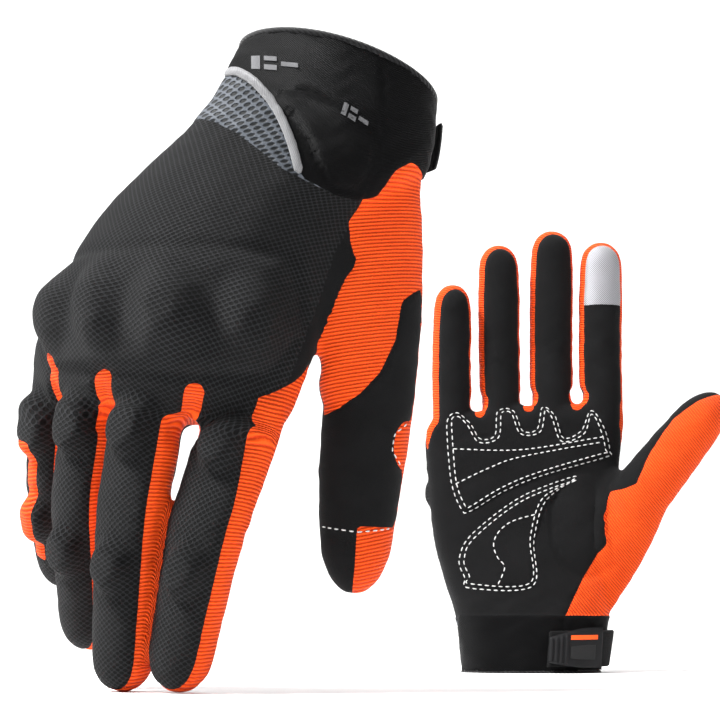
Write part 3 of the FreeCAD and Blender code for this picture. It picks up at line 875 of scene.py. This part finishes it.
# ---------------------------------------------------------------- cloths
class Cloth:
    """A material being wired up; flat coordinates come in millimetres."""

    def __init__(self, name, roughness, sheen=0.0):
        self.material = bpy.data.materials.new(name)
        self.material.use_nodes = True
        self.tree = self.material.node_tree
        self.surface = self.tree.nodes["Principled BSDF"]
        self.surface.inputs["Roughness"].default_value = roughness
        self.surface.inputs["Sheen Weight"].default_value = sheen
        self.surface.inputs["Sheen Roughness"].default_value = 0.5
        self.surface.inputs["Specular IOR Level"].default_value = 0.13

    def node(self, kind, settings=None, **inputs):
        node = self.tree.nodes.new(kind)
        for key, value in (settings or {}).items():
            setattr(node, key, value)
        for key, value in inputs.items():
            self.feed(node.inputs[key.replace("_", " ")], value)
        return node

    def feed(self, socket, value):
        if hasattr(value, "links"):
            self.tree.links.new(value, socket)
        else:
            socket.default_value = value

    def mapped(self, coords, scale, turn=0.0):
        """Coordinates scaled and then turned by an angle in degrees."""
        return self.node("ShaderNodeMapping", {"vector_type": "POINT"}, Vector=coords,
                         Rotation=(0, 0, math.radians(turn)), Scale=scale).outputs[0]

    def flat(self, scale=(1, 1, 1), turn=0.0, last_turn=0.0):
        """Coordinates along the cloth in millimetres, turned, scaled and turned again."""
        coords = self.node("ShaderNodeUVMap", {"uv_map": "flat"}).outputs[0]
        return self.mapped(self.mapped(coords, (1 / FLAT_SCALE,) * 3, turn), scale, last_turn)

    def solid(self, scale):
        """Coordinates of the object, in millimetres times a scale."""
        return self.mapped(self.node("ShaderNodeTexCoord").outputs["Object"],
                           (scale / MM,) * 3)

    def bands(self, direction, scale, coords=None, **inputs):
        """Parallel ridges running across one direction of the cloth."""
        settings = {"wave_type": "BANDS", "bands_direction": direction}
        return self.node("ShaderNodeTexWave", settings, Scale=scale, **inputs,
                         Vector=self.flat() if coords is None else coords).outputs[1]

    def noise(self, coords, scale, detail=3.0):
        return self.node("ShaderNodeTexNoise", Vector=coords, Scale=scale,
                         Detail=detail).outputs[0]

    def math(self, operation, first, second=0.0):
        node = self.node("ShaderNodeMath", {"operation": operation})
        self.feed(node.inputs[0], first)
        self.feed(node.inputs[1], second)
        return node.outputs[0]

    def ramp(self, value, low, high):
        return self.node("ShaderNodeMapRange", {"interpolation_type": "SMOOTHSTEP"}, Value=value,
                         From_Min=low, From_Max=high).outputs[0]

    def colours(self, share, first, second):
        node = self.node("ShaderNodeMix", {"data_type": "RGBA"})
        self.feed(node.inputs[0], share)
        self.feed(node.inputs[6], (*first, 1.0))
        self.feed(node.inputs[7], (*second, 1.0))
        return node.outputs[2]

    def finish(self, colour, height, distance, strength=1.0):
        self.feed(self.surface.inputs["Base Color"], colour)
        bump = self.node("ShaderNodeBump", Height=height, Distance=distance * MM,
                         Strength=strength).outputs[0]
        self.tree.links.new(bump, self.surface.inputs["Normal"])
        return self.material


def holes(cloth, pitch_x, pitch_y, turn=0.0):
    """Distance from the nearest centre of a staggered grid, 0 at a centre."""
    coords = cloth.flat((1 / pitch_x, 1 / pitch_y, 1), turn, 45.0)
    return cloth.node("ShaderNodeTexVoronoi", {"voronoi_dimensions": "2D"}, Vector=coords,
                      Scale=1.0, Randomness=0.0).outputs["Distance"]


def knit_cloth():
    cloth = Cloth("knit_mesh", 0.7, 0.02)
    open_holes = holes(cloth, 1.6, 1.45)
    thread = cloth.ramp(open_holes, 0.30, 0.56)
    stitch = cloth.bands("Y", 1.0, cloth.flat((1.6, 1.6, 1)), Distortion=1.5)
    wear = cloth.noise(cloth.solid(0.05), 1.0)
    # The threads are painted lighter than the near-black cloth in the holes: a painted highlight on
    # the yarn, scaled by the random wear.
    thread_highlight_and_wear = cloth.math("MULTIPLY", thread, cloth.math("ADD", wear, 0.35))
    colour = cloth.colours(thread_highlight_and_wear, (0.0006, 0.0006, 0.0007), (0.020, 0.021, 0.023))
    height = cloth.math("ADD", thread, cloth.math("MULTIPLY", stitch, 0.25))
    return cloth.finish(colour, height, 0.7)


def suede_cloth():
    cloth = Cloth("suede", 0.88, 0.03)
    nap = cloth.noise(cloth.solid(1.0), 2.6, 4.0)
    soft = cloth.noise(cloth.solid(0.06), 1.0)
    colour = cloth.colours(cloth.math("MULTIPLY", soft, cloth.math("ADD", nap, 0.4)),
                           (0.0012, 0.0012, 0.0013), (0.0065, 0.0065, 0.007))
    return cloth.finish(colour, nap, 0.28)


def rib_cloth():
    cloth = Cloth("orange_rib", 0.65, 0.03)
    slant = 14.0
    ribs = cloth.bands("Y", 0.235, cloth.flat(turn=slant), Distortion=0.25)
    loops = holes(cloth, 0.9, 1.3, slant)
    wear = cloth.noise(cloth.solid(0.07), 1.0)
    raised = cloth.math("ADD", ribs, cloth.math("MULTIPLY", loops, 0.3))
    # The low places of the ribs and loops are painted dark orange: painted shade in the grooves,
    # mixed with random wear.
    depth = cloth.math("ADD", cloth.math("MULTIPLY", cloth.ramp(raised, 0.05, 0.75), 0.8),
                       cloth.math("MULTIPLY", wear, 0.3))
    colour = cloth.colours(depth, (0.42, 0.018, 0.001), (0.90, 0.088, 0.006))
    return cloth.finish(colour, raised, 0.6)


def cuff_cloth():
    cloth = Cloth("neoprene", 0.55, 0.01)
    cloth.surface.inputs["Specular IOR Level"].default_value = 0.06
    grain = cloth.bands("DIAGONAL", 0.8, Distortion=2.5)
    nap = cloth.noise(cloth.solid(1.0), 2.0)
    soft = cloth.noise(cloth.solid(0.05), 1.0)
    colour = cloth.colours(cloth.math("MULTIPLY", soft, cloth.math("ADD", nap, 0.3)),
                           (0.0008, 0.0008, 0.0009), (0.0045, 0.0045, 0.005))
    return cloth.finish(colour, cloth.math("ADD", grain, nap), 0.22)


def spacer_cloth():
    cloth = Cloth("grey_spacer", 0.6, 0.05)
    cell = holes(cloth, 3.2, 2.5, 6.0)
    wall = cloth.ramp(cell, 0.24, 0.46)
    fine = cloth.math("MULTIPLY", cloth.bands("X", 0.9), 0.3)
    share = cloth.math("MULTIPLY", wall, cloth.math("ADD", fine, 0.7))
    colour = cloth.colours(share, (0.004, 0.005, 0.006), (0.078, 0.087, 0.102))
    return cloth.finish(colour, wall, 1.0)


def cord_cloth(name, dark, light, roughness=0.45, pitch=1.1, depth=0.25):
    """Satin or braided trim, its ridges slanting across the length."""
    cloth = Cloth(name, roughness, 0.2)
    braid = cloth.bands("DIAGONAL", 0.3 / pitch)
    nap = cloth.noise(cloth.solid(1.0), 1.5)
    share = cloth.math("MULTIPLY", braid, cloth.math("ADD", nap, 0.3))
    colour = cloth.colours(share, dark, light)
    return cloth.finish(colour, braid, depth)


def hook_cloth(name, pitch, depth):
    cloth = Cloth(name, 0.7, 0.1)
    dots = cloth.ramp(holes(cloth, pitch, pitch), 0.4, 0.1)
    nap = cloth.noise(cloth.solid(1.0), 3.0)
    raised = cloth.math("ADD", dots, nap)
    colour = cloth.colours(raised, (0.002, 0.002, 0.002), (0.014, 0.014, 0.015))
    return cloth.finish(colour, raised, depth)


def rubber_cloth(name, dark, light):
    cloth = Cloth(name, 0.5)
    grain = cloth.noise(cloth.solid(1.0), 4.0)
    soft = cloth.noise(cloth.solid(0.15), 1.0)
    return cloth.finish(cloth.colours(soft, dark, light), grain, 0.1)


def silver_cloth():
    cloth = Cloth("silver_cloth", 0.5, 0.2)
    cloth.surface.inputs["Metallic"].default_value = 0.35
    weave = holes(cloth, 0.8, 0.8)
    colour = cloth.colours(cloth.ramp(weave, 0.1, 0.5), (0.10, 0.10, 0.11), (0.36, 0.36, 0.38))
    return cloth.finish(colour, weave, 0.3)


def floor_cloth():
    cloth = Cloth("studio_sweep", 0.6)
    grain = cloth.noise(cloth.solid(0.02), 1.0)
    colour = cloth.colours(grain, (0.90, 0.90, 0.90), (0.93, 0.93, 0.93))
    return cloth.finish(colour, grain, 0.05)


def make_materials():
    return {
        "knit": knit_cloth(), "suede": suede_cloth(), "rib": rib_cloth(),
        "cuff": cuff_cloth(), "mesh": spacer_cloth(), "silver": silver_cloth(),
        "piping": cord_cloth("grey_piping", (0.14, 0.14, 0.145), (0.21, 0.21, 0.215), 0.4, 0.5,
                             0.08),
        "trim": cord_cloth("edge_binding", (0.002, 0.002, 0.0022), (0.012, 0.012, 0.013), 0.7),
        "lining": cord_cloth("lining", (0.002, 0.002, 0.0022), (0.007, 0.007, 0.0075), 0.9),
        "thread": cord_cloth("white_thread", (0.45, 0.45, 0.45), (0.85, 0.85, 0.84), 0.6, 0.35,
                             0.1),
        "loop": hook_cloth("loop_tape", 1.0, 0.5), "hook": hook_cloth("hook_tape", 1.3, 0.9),
        "rubber": rubber_cloth("tab_rubber", (0.004, 0.004, 0.0045), (0.012, 0.012, 0.013)),
        "inset": rubber_cloth("tab_inset", (0.85, 0.075, 0.012), (0.95, 0.12, 0.02)),
        "print": rubber_cloth("raised_print", (0.09, 0.09, 0.095), (0.15, 0.15, 0.155)),
    }


# ---------------------------------------------------------------- trims
def tube(name, path, radius_wide, radius_high, normals, material, closed=False):
    """Cord along a path, its section an ellipse standing on the surface; radii in millimetres."""
    sides, end_share = 12, 0.35
    points, pairs = [], []
    count = len(path)
    run = 0.0
    for k, centre in enumerate(path):
        before = path[k - 1] if (closed or k > 0) else path[k]
        after = path[(k + 1) % count] if (closed or k < count - 1) else path[k]
        way = (after - before).normalized()
        across = way.cross(normals[k]).normalized()
        up = across.cross(way).normalized()
        size = MM * (end_share if (not closed and k in (0, count - 1)) else 1.0)
        run += (centre - path[k - 1]).length / MM if k else 0.0
        for j in range(sides):
            turn = 2 * math.pi * j / sides
            points.append(centre + across * (radius_wide * math.cos(turn) * size)
                          + up * (radius_high * math.sin(turn) * size))
            pairs.append((turn * radius_wide, run))
    faces = ring_faces(count, sides, closed=closed)
    return mesh_object(name, points, faces, material, pairs)


def smooth_line(points, spacing, closed=False):
    """Catmull-Rom curve through points in the plane, as evenly spaced points."""
    ring = [Vector(p) for p in points]
    count = len(ring)
    curve = []
    for k in range(count if closed else count - 1):
        nearby = range(k - 1, k + 3)
        p0, p1, p2, p3 = (ring[m % count if closed else min(max(m, 0), count - 1)]
                          for m in nearby)
        steps = max(2, int((p2 - p1).length / 0.5))
        for j in range(steps):
            t = j / steps
            curve.append(0.5 * (2 * p1 + (p2 - p0) * t + (2 * p0 - 5 * p1 + 4 * p2 - p3) * t ** 2
                                + (3 * p1 - p0 - 3 * p2 + p3) * t ** 3))
    curve.append(ring[0] if closed else ring[-1])
    runs = np.cumsum([0.0] + [(q - p).length for p, q in zip(curve, curve[1:])])
    wanted = np.arange(0, runs[-1], spacing)
    return list(zip(np.interp(wanted, runs, [p.x for p in curve]),
                    np.interp(wanted, runs, [p.y for p in curve])))


def find_on_hand(a, u, pattern):
    """Place and share of a point of a pattern drawn over the hand of one pose, by Newton's
    method."""
    place, s = 2.0, 0.5
    nudge = 0.01
    for _ in range(12):
        here = middle_surface(pattern, place, s)
        by_place = middle_surface(pattern, place + nudge, s) - here
        by_s = middle_surface(pattern, place, s + nudge) - here
        det = by_place.x * by_s.y - by_place.y * by_s.x
        da, du = a - here.x, u - here.y
        place += nudge * (da * by_s.y - du * by_s.x) / det
        s += nudge * (by_place.x * du - by_place.y * da) / det
        place, s = min(max(place, 0.0), 4.3), min(max(s, 0.01), 0.99)
    return place, s


def on_skin(glove, tree, a, u, pattern, back, lift=0.0):
    """Point on the skin over a pattern point, and the skin's direction there."""
    place, s = find_on_hand(a, u, pattern)
    row = min(place, ROOTS)
    centre = middle_surface(glove.pose, row, s)
    centre = centre + Vector((0, 1, 0)) * (place - row) * BEYOND_ROOTS
    normal = surface_normal(glove.pose, row, s) * (1 if back else -1)
    way = glove.turn(-normal).normalized()
    hit, face_normal, _, _ = tree.ray_cast(glove.world(centre + normal * 60), way)
    if hit is None:
        return None, None
    return hit + face_normal * lift, face_normal


def stitch_line(glove, tree, line, closed=False):
    """A row of short stitches lying on the palm, each as points with the skin's directions."""
    length, pitch, lift = 4, 6, 0.12
    path = smooth_line(line, STITCH_STEP, closed)
    stitches = []
    for k in range(0, len(path) - length, pitch):
        part = [on_skin(glove, tree, *path[k + m], FAR, False, lift * MM)
                for m in range(length + 1)]
        if all(p is not None for p, _ in part):
            stitches.append(part)
    return stitches


def stitches_object(name, stitches, material, radius=0.34):
    """Thread of a given radius in millimetres, thin and sunk at both ends of each stitch."""
    sides = 6
    points, faces, pairs = [], [], []
    for part in stitches:
        last = len(part) - 1
        faces += ring_faces(last + 1, sides, first=len(points))
        for k, (centre, normal) in enumerate(part):
            way = (part[min(k + 1, last)][0] - part[max(k - 1, 0)][0]).normalized()
            across = way.cross(normal).normalized()
            size, dip = (0.35, -0.25 * MM) if k in (0, last) else (1.0, 0.0)
            size *= radius * MM
            for j in range(sides):
                turn = 2 * math.pi * j / sides
                points.append(centre + normal * dip + across * (size * math.cos(turn))
                              + normal * (size * math.sin(turn)))
                pairs.append((j * 0.3, k * STITCH_STEP))
    return mesh_object(name, points, faces, material, pairs)


def palm_stitches(glove, tree, materials):
    rows = []
    for outline in (PATCH, HEEL):
        rows += stitch_line(glove, tree, outline, closed=True)
        rows += stitch_line(glove, tree, inset(outline, 2.3), closed=True)
    for line in PATCH_LINES + HEEL_LINES:
        rows += stitch_line(glove, tree, line)
    obj = stitches_object(glove.prefix + "_palm_stitches", rows, materials["thread"])
    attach(obj, glove.prefix + "_hand")


def on_digit(glove, tree, name, d, turn, lift=0.12):
    """Point on a digit's skin, found from its centreline outwards, and the skin's direction."""
    centre, _, width, normal = glove.station(name, d)
    way = glove.turn(width * math.cos(turn) + normal * math.sin(turn)).normalized()
    hit, face_normal, _, _ = tree.ray_cast(glove.world(centre), way)
    if hit is None:
        return None, None
    if face_normal.dot(way) < 0:
        face_normal = -face_normal
    return hit + face_normal * lift * MM, face_normal


def digit_stitches(glove, tree, name, path, body, label, material):
    """A row of short stitches over (distance, angle) points of one digit."""
    length, pitch, spacing = 4, 6, 0.45
    rows, steps = [], []
    for (d0, t0), (d1, t1) in zip(path, path[1:]):
        count = max(2, int(math.hypot(d1 - d0, (t1 - t0) * 0.2) / spacing))
        steps += [(d0 + (d1 - d0) * k / count, t0 + (t1 - t0) * k / count)
                  for k in range(count)]
    for k in range(0, len(steps) - length, pitch):
        part = [on_digit(glove, tree, name, d, math.radians(t))
                for d, t in steps[k:k + length + 1]]
        if all(p is not None for p, _ in part):
            rows.append(part)
    obj = stitches_object("_".join((glove.prefix, name, label)), rows, material, 0.28)
    place_piece(glove, obj, body)


def thumb_stitches(glove, tree, materials):
    """Seams on the thumb: across its tip, and round the orange window."""
    for label, body, path in (
            ("tip_stitches", "thumb_tip", [(44.5, 160), (45.5, 90), (43.5, 20)]),
            ("window_stitches", "thumb_base", [(4, 22), (9, 44), (15, 44), (20, 22)])):
        digit_stitches(glove, tree, "thumb", path, body, label, materials["thread"])


def inset(outline, by):
    """A closed outline moved inwards."""
    area = sum(p[0] * q[1] - q[0] * p[1] for p, q in zip(outline, outline[1:] + outline[:1]))
    side = 1 if area > 0 else -1
    moved = []
    count = len(outline)
    for k, (x, y) in enumerate(outline):
        before, after = outline[k - 1], outline[(k + 1) % count]
        along = Vector((after[0] - before[0], after[1] - before[1])).normalized()
        moved.append((x - along.y * by * side, y + along.x * by * side))
    return moved


def lining(glove, materials):
    """The cloth seen inside the open cuff, and the binding round its rim."""
    sides, rows = 64, 26
    angles = [-180 + 360 * (k + 0.5) / sides for k in range(sides)]
    points = [glove.world(hand_point(glove.pose, v, t, -2.4 - 0.4 * v)[0])
              for v in np.linspace(0.0, 3.3, rows) for t in angles]
    faces = ring_faces(rows, sides, caps=False)
    faces.append(tuple(range((rows - 1) * sides, rows * sides)))
    obj = mesh_object(glove.prefix + "_lining", points, faces, materials["lining"],
                      [(3.0 * j, 6.0 * i) for i in range(rows) for j in range(sides)])
    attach(obj, glove.prefix + "_hand")
    count, place = 160, 0.012
    rim = [-180 + 360 * k / count for k in range(count)]
    path = [glove.world(hand_point(glove.pose, place, t, -0.9)[0]) for t in rim]
    normals = [(glove.world(hand_point(glove.pose, place, t, 1.0)[0]) - p).normalized()
               for t, p in zip(rim, path)]
    obj = tube(glove.prefix + "_cuff_binding", path, 1.5, 1.9, normals, materials["trim"],
               closed=True)
    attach(obj, glove.prefix + "_hand")


def wrist_trims(glove, tree, materials):
    """Satin piping between the black cuff and the stretch mesh."""
    line = smooth_line(CUFF_EDGE[1:7], 1.5)
    found = [on_skin(glove, tree, a, u, NEAR, True, 0.5 * MM) for a, u in line]
    found = [pair for pair in found if pair[0] is not None]
    obj = tube(glove.prefix + "_piping", [p for p, _ in found], 1.7, 1.1,
               [n for _, n in found], materials["piping"])
    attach(obj, glove.prefix + "_hand")
    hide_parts(glove.prefix + "_wrist_piping")


def strap_slab(glove, name, material, places, angles, lift, thick, body, taper=1.0, ridges=0.0):
    """A curved strip lying on the palm side of the cuff, with rounded edges."""
    rows, cols = 26, 60
    taper_from, ridges_from, ridge_pitch = 0.35, 0.68, 0.08
    edge = 0.5 * thick
    points, pairs = [], []
    for side in (-1, 1):
        for i in range(rows + 1):
            for j in range(cols + 1):
                s, t = i / rows, j / cols
                narrow = max((t - taper_from) / (1 - taper_from), 0.0) ** 1.5
                narrow = 1 - (1 - taper) * narrow
                place = 0.5 * (places[0] + places[1])
                place += (places[1] - places[0]) * (s - 0.5) * narrow
                round_off = min(min(s, 1 - s) * rows / 2, min(t, 1 - t) * cols / 2, 1.0)
                height = edge + side * edge * math.sqrt(max(1 - (1 - round_off) ** 2, 0.0))
                if side > 0 and ridges and t > ridges_from and round_off >= 1:
                    wave = math.cos(2 * math.pi * (t - ridges_from) / ridge_pitch)
                    height += ridges * 0.5 * (1 - wave)
                angle = angles[0] + (angles[1] - angles[0]) * t
                points.append(glove.world(hand_point(glove.pose, place, angle, lift + height)[0]))
                pairs.append((t * 46.0, s * 28.0))
    faces = []
    stride = cols + 1
    total = (rows + 1) * stride
    for i in range(rows):
        for j in range(cols):
            k = i * stride + j
            faces.append((k, k + 1, k + stride + 1, k + stride))
            k += total
            faces.append((k, k + stride, k + stride + 1, k + 1))
    border = list(range(cols)) + [cols + i * stride for i in range(rows)]
    border += [rows * stride + cols - j for j in range(cols)]
    border += [(rows - i) * stride for i in range(rows)]
    for first, second in zip(border, border[1:] + border[:1]):
        faces.append((first, first + total, second + total, second))
    obj = mesh_object(glove.prefix + "_" + name, points, faces, material, pairs, outwards=True)
    if angles[0] > -10:
        ends = [glove.world(hand_point(glove.pose, 0.5, t, lift + edge)[0]) for t in (-7.5, -24)]
        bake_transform(obj)
    else:
        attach(obj, glove.prefix + "_" + body)
    return obj


# name, material, places across the strap, angles along it, lift, thickness, body, node it
# replaces, taper, ridges
STRAP = [
    ("loop_tape", "loop", (0.18, 0.82), (-37.5, -82.5), 0.5, 0.9, "hand", "loop_patch", 1.0, 0.0),
    ("hook_tape", "hook", (0.20, 0.80), (-37.5, -82.0), 1.7, 0.9, "strap", "strap_hooks", 1.0, 0.0),
    ("strap_band", "suede", (0.18, 0.82), (-7.5, -82.5), 2.8, 2.0, "strap", "strap", 1.0, 0.0),
    ("pull_tab", "rubber", (0.16, 0.86), (-37.5, -84.0), 5.0, 2.2, "strap", "strap_tab", 0.62, 0.9),
    ("tab_inset", "inset", (0.68, 0.75), (-44, -68), 6.5, 1.1, "strap", None, 1.0, 0.0),
    ("tab_badge", "loop", (0.34, 0.60), (-46, -68), 6.5, 1.2, "strap", None, 0.8, 0.0),
]


def strap(glove, materials):
    for name, cloth, places, angles, lift, thick, body, node, taper, ridges in STRAP:
        obj = strap_slab(glove, name, materials[cloth], places, angles, lift, thick, body,
                         taper, ridges)
        if node:
            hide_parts(glove.prefix + "_" + node)


# Bars and wedges of a print: low and high x, low and high y, as shares of its half size.
BARS = [(-1.0, -0.62, -1.0, 1.0), (-0.45, 0.1, 0.25, 1.0), (-0.45, 0.1, -1.0, -0.35),
        (0.28, 1.0, -0.35, 0.3)]


def badge(glove, tree, name, centre, half, turn, material):
    """Low raised print: plain slanting bars laid on the back's skin."""
    slant, sunk, raised = 0.25, -0.4 * MM, 0.25 * MM
    points, faces, pairs = [], [], []
    cos, sin = math.cos(math.radians(turn)), math.sin(math.radians(turn))
    for low_x, high_x, low_y, high_y in BARS:
        grid = []
        columns = max(2, int((high_x - low_x) * half[0] / 0.8))
        for k in range(columns + 1):
            for v in (low_y, high_y):
                x = (low_x + (high_x - low_x) * k / columns) * half[0] + slant * v * half[1]
                y = v * half[1]
                a, u = centre[0] + x * cos - y * sin, centre[1] + x * sin + y * cos
                grid.append((*on_skin(glove, tree, a, u, NEAR, True), x, y))
        base = len(points)
        for raise_by in (sunk, raised):
            for hit, normal, x, y in grid:
                points.append(hit + normal * raise_by)
                pairs.append((x, y))
        total = len(grid)
        for k in range(columns):
            a, b, c, d = (base + 2 * k + m for m in (0, 1, 3, 2))
            faces.append((a + total, d + total, c + total, b + total))
            faces.append((a, a + total, d + total, d)[::-1])
            faces.append((b, c, c + total, b + total)[::-1])
        faces.append((base, base + 1, base + 1 + total, base + total))
        end = base + 2 * columns
        faces.append((end, end + total, end + 1 + total, end + 1))
    obj = mesh_object(glove.prefix + "_" + name, points, faces, material, pairs,
                      smooth=False, outwards=True)
    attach(obj, glove.prefix + "_hand")


def prints(glove, tree, materials):
    badge(glove, tree, "cuff_print", (-31.6, 24.4), (9, 2.6), 12, materials["print"])
    badge(glove, tree, "mesh_print", (-2, 45), (5, 2.4), 30, materials["print"])


# ---------------------------------------------------------------- room
def stage_room():
    """Pale sweep that rises behind the gloves, in metres."""
    half_width, front, bend_start, radius, top = 3.2, -3.0, 1.1, 0.7, 3.4
    profile = [(front, 0.0), (bend_start, 0.0)]
    for k in range(1, 13):
        turn = math.pi / 2 * k / 12
        profile.append((bend_start + radius * math.sin(turn), radius * (1 - math.cos(turn))))
    profile.append((bend_start + radius, top))
    points = [Vector((x, y, z)) for y, z in profile for x in (-half_width, half_width)]
    faces = [(2 * k, 2 * k + 1, 2 * k + 3, 2 * k + 2) for k in range(len(profile) - 1)]
    sweep = mesh_object("studio_sweep", points, faces, floor_cloth())


def area_light(name, where, target, size, power):
    lamp = bpy.data.lights.new(name, "AREA")
    lamp.shape = "RECTANGLE"
    lamp.size, lamp.size_y = size
    lamp.energy = power
    obj = link(bpy.data.objects.new(name, lamp))
    obj.location = where
    obj.rotation_euler = (Vector(target) - Vector(where)).to_track_quat("-Z", "Y").to_euler()


def lights():
    area_light("key", (-0.95, -0.42, 1.2), (-0.05, -0.15, 0.12), (0.35, 0.35), 58)
    area_light("fill", (1.3, -1.2, 0.9), (0, 0, 0.12), (1.0, 1.0), 5)
    area_light("top", (0.0, 0.3, 1.9), (0, 0.1, 0.0), (1.6, 1.2), 22)
    world = bpy.data.worlds.new("studio")
    bpy.context.scene.world = world
    world.use_nodes = True
    background = world.node_tree.nodes["Background"]
    background.inputs["Color"].default_value = (1, 1, 1, 1)
    background.inputs["Strength"].default_value = 0.5


def camera(near):
    """Low in front of the near glove, looking up by a small angle."""
    distance, height, look_up = 0.5, 0.0207, 11.33
    data = bpy.data.cameras.new("camera")
    data.lens = 68.5
    data.sensor_width = 36.0
    obj = link(bpy.data.objects.new("camera", data))
    obj.location = (near.offset.x, near.offset.y - distance, height)
    obj.rotation_euler = (math.radians(90 + look_up), 0, 0)
    bpy.context.scene.camera = obj


# ---------------------------------------------------------------- everything together
materials = make_materials()
gloves = [Glove("near", NEAR, -1), Glove("far", FAR, 1)]
for glove in gloves:
    skin_tree = build_skin(glove, materials)
    replace_nodes(glove)
    lining(glove, materials)
    strap(glove, materials)
    palm_stitches(glove, skin_tree, materials)
    thumb_stitches(glove, skin_tree, materials)
    wrist_trims(glove, skin_tree, materials)
    prints(glove, skin_tree, materials)
stage_room()
lights()
camera(gloves[0])
bpy.context.scene.view_settings.view_transform = "Standard"
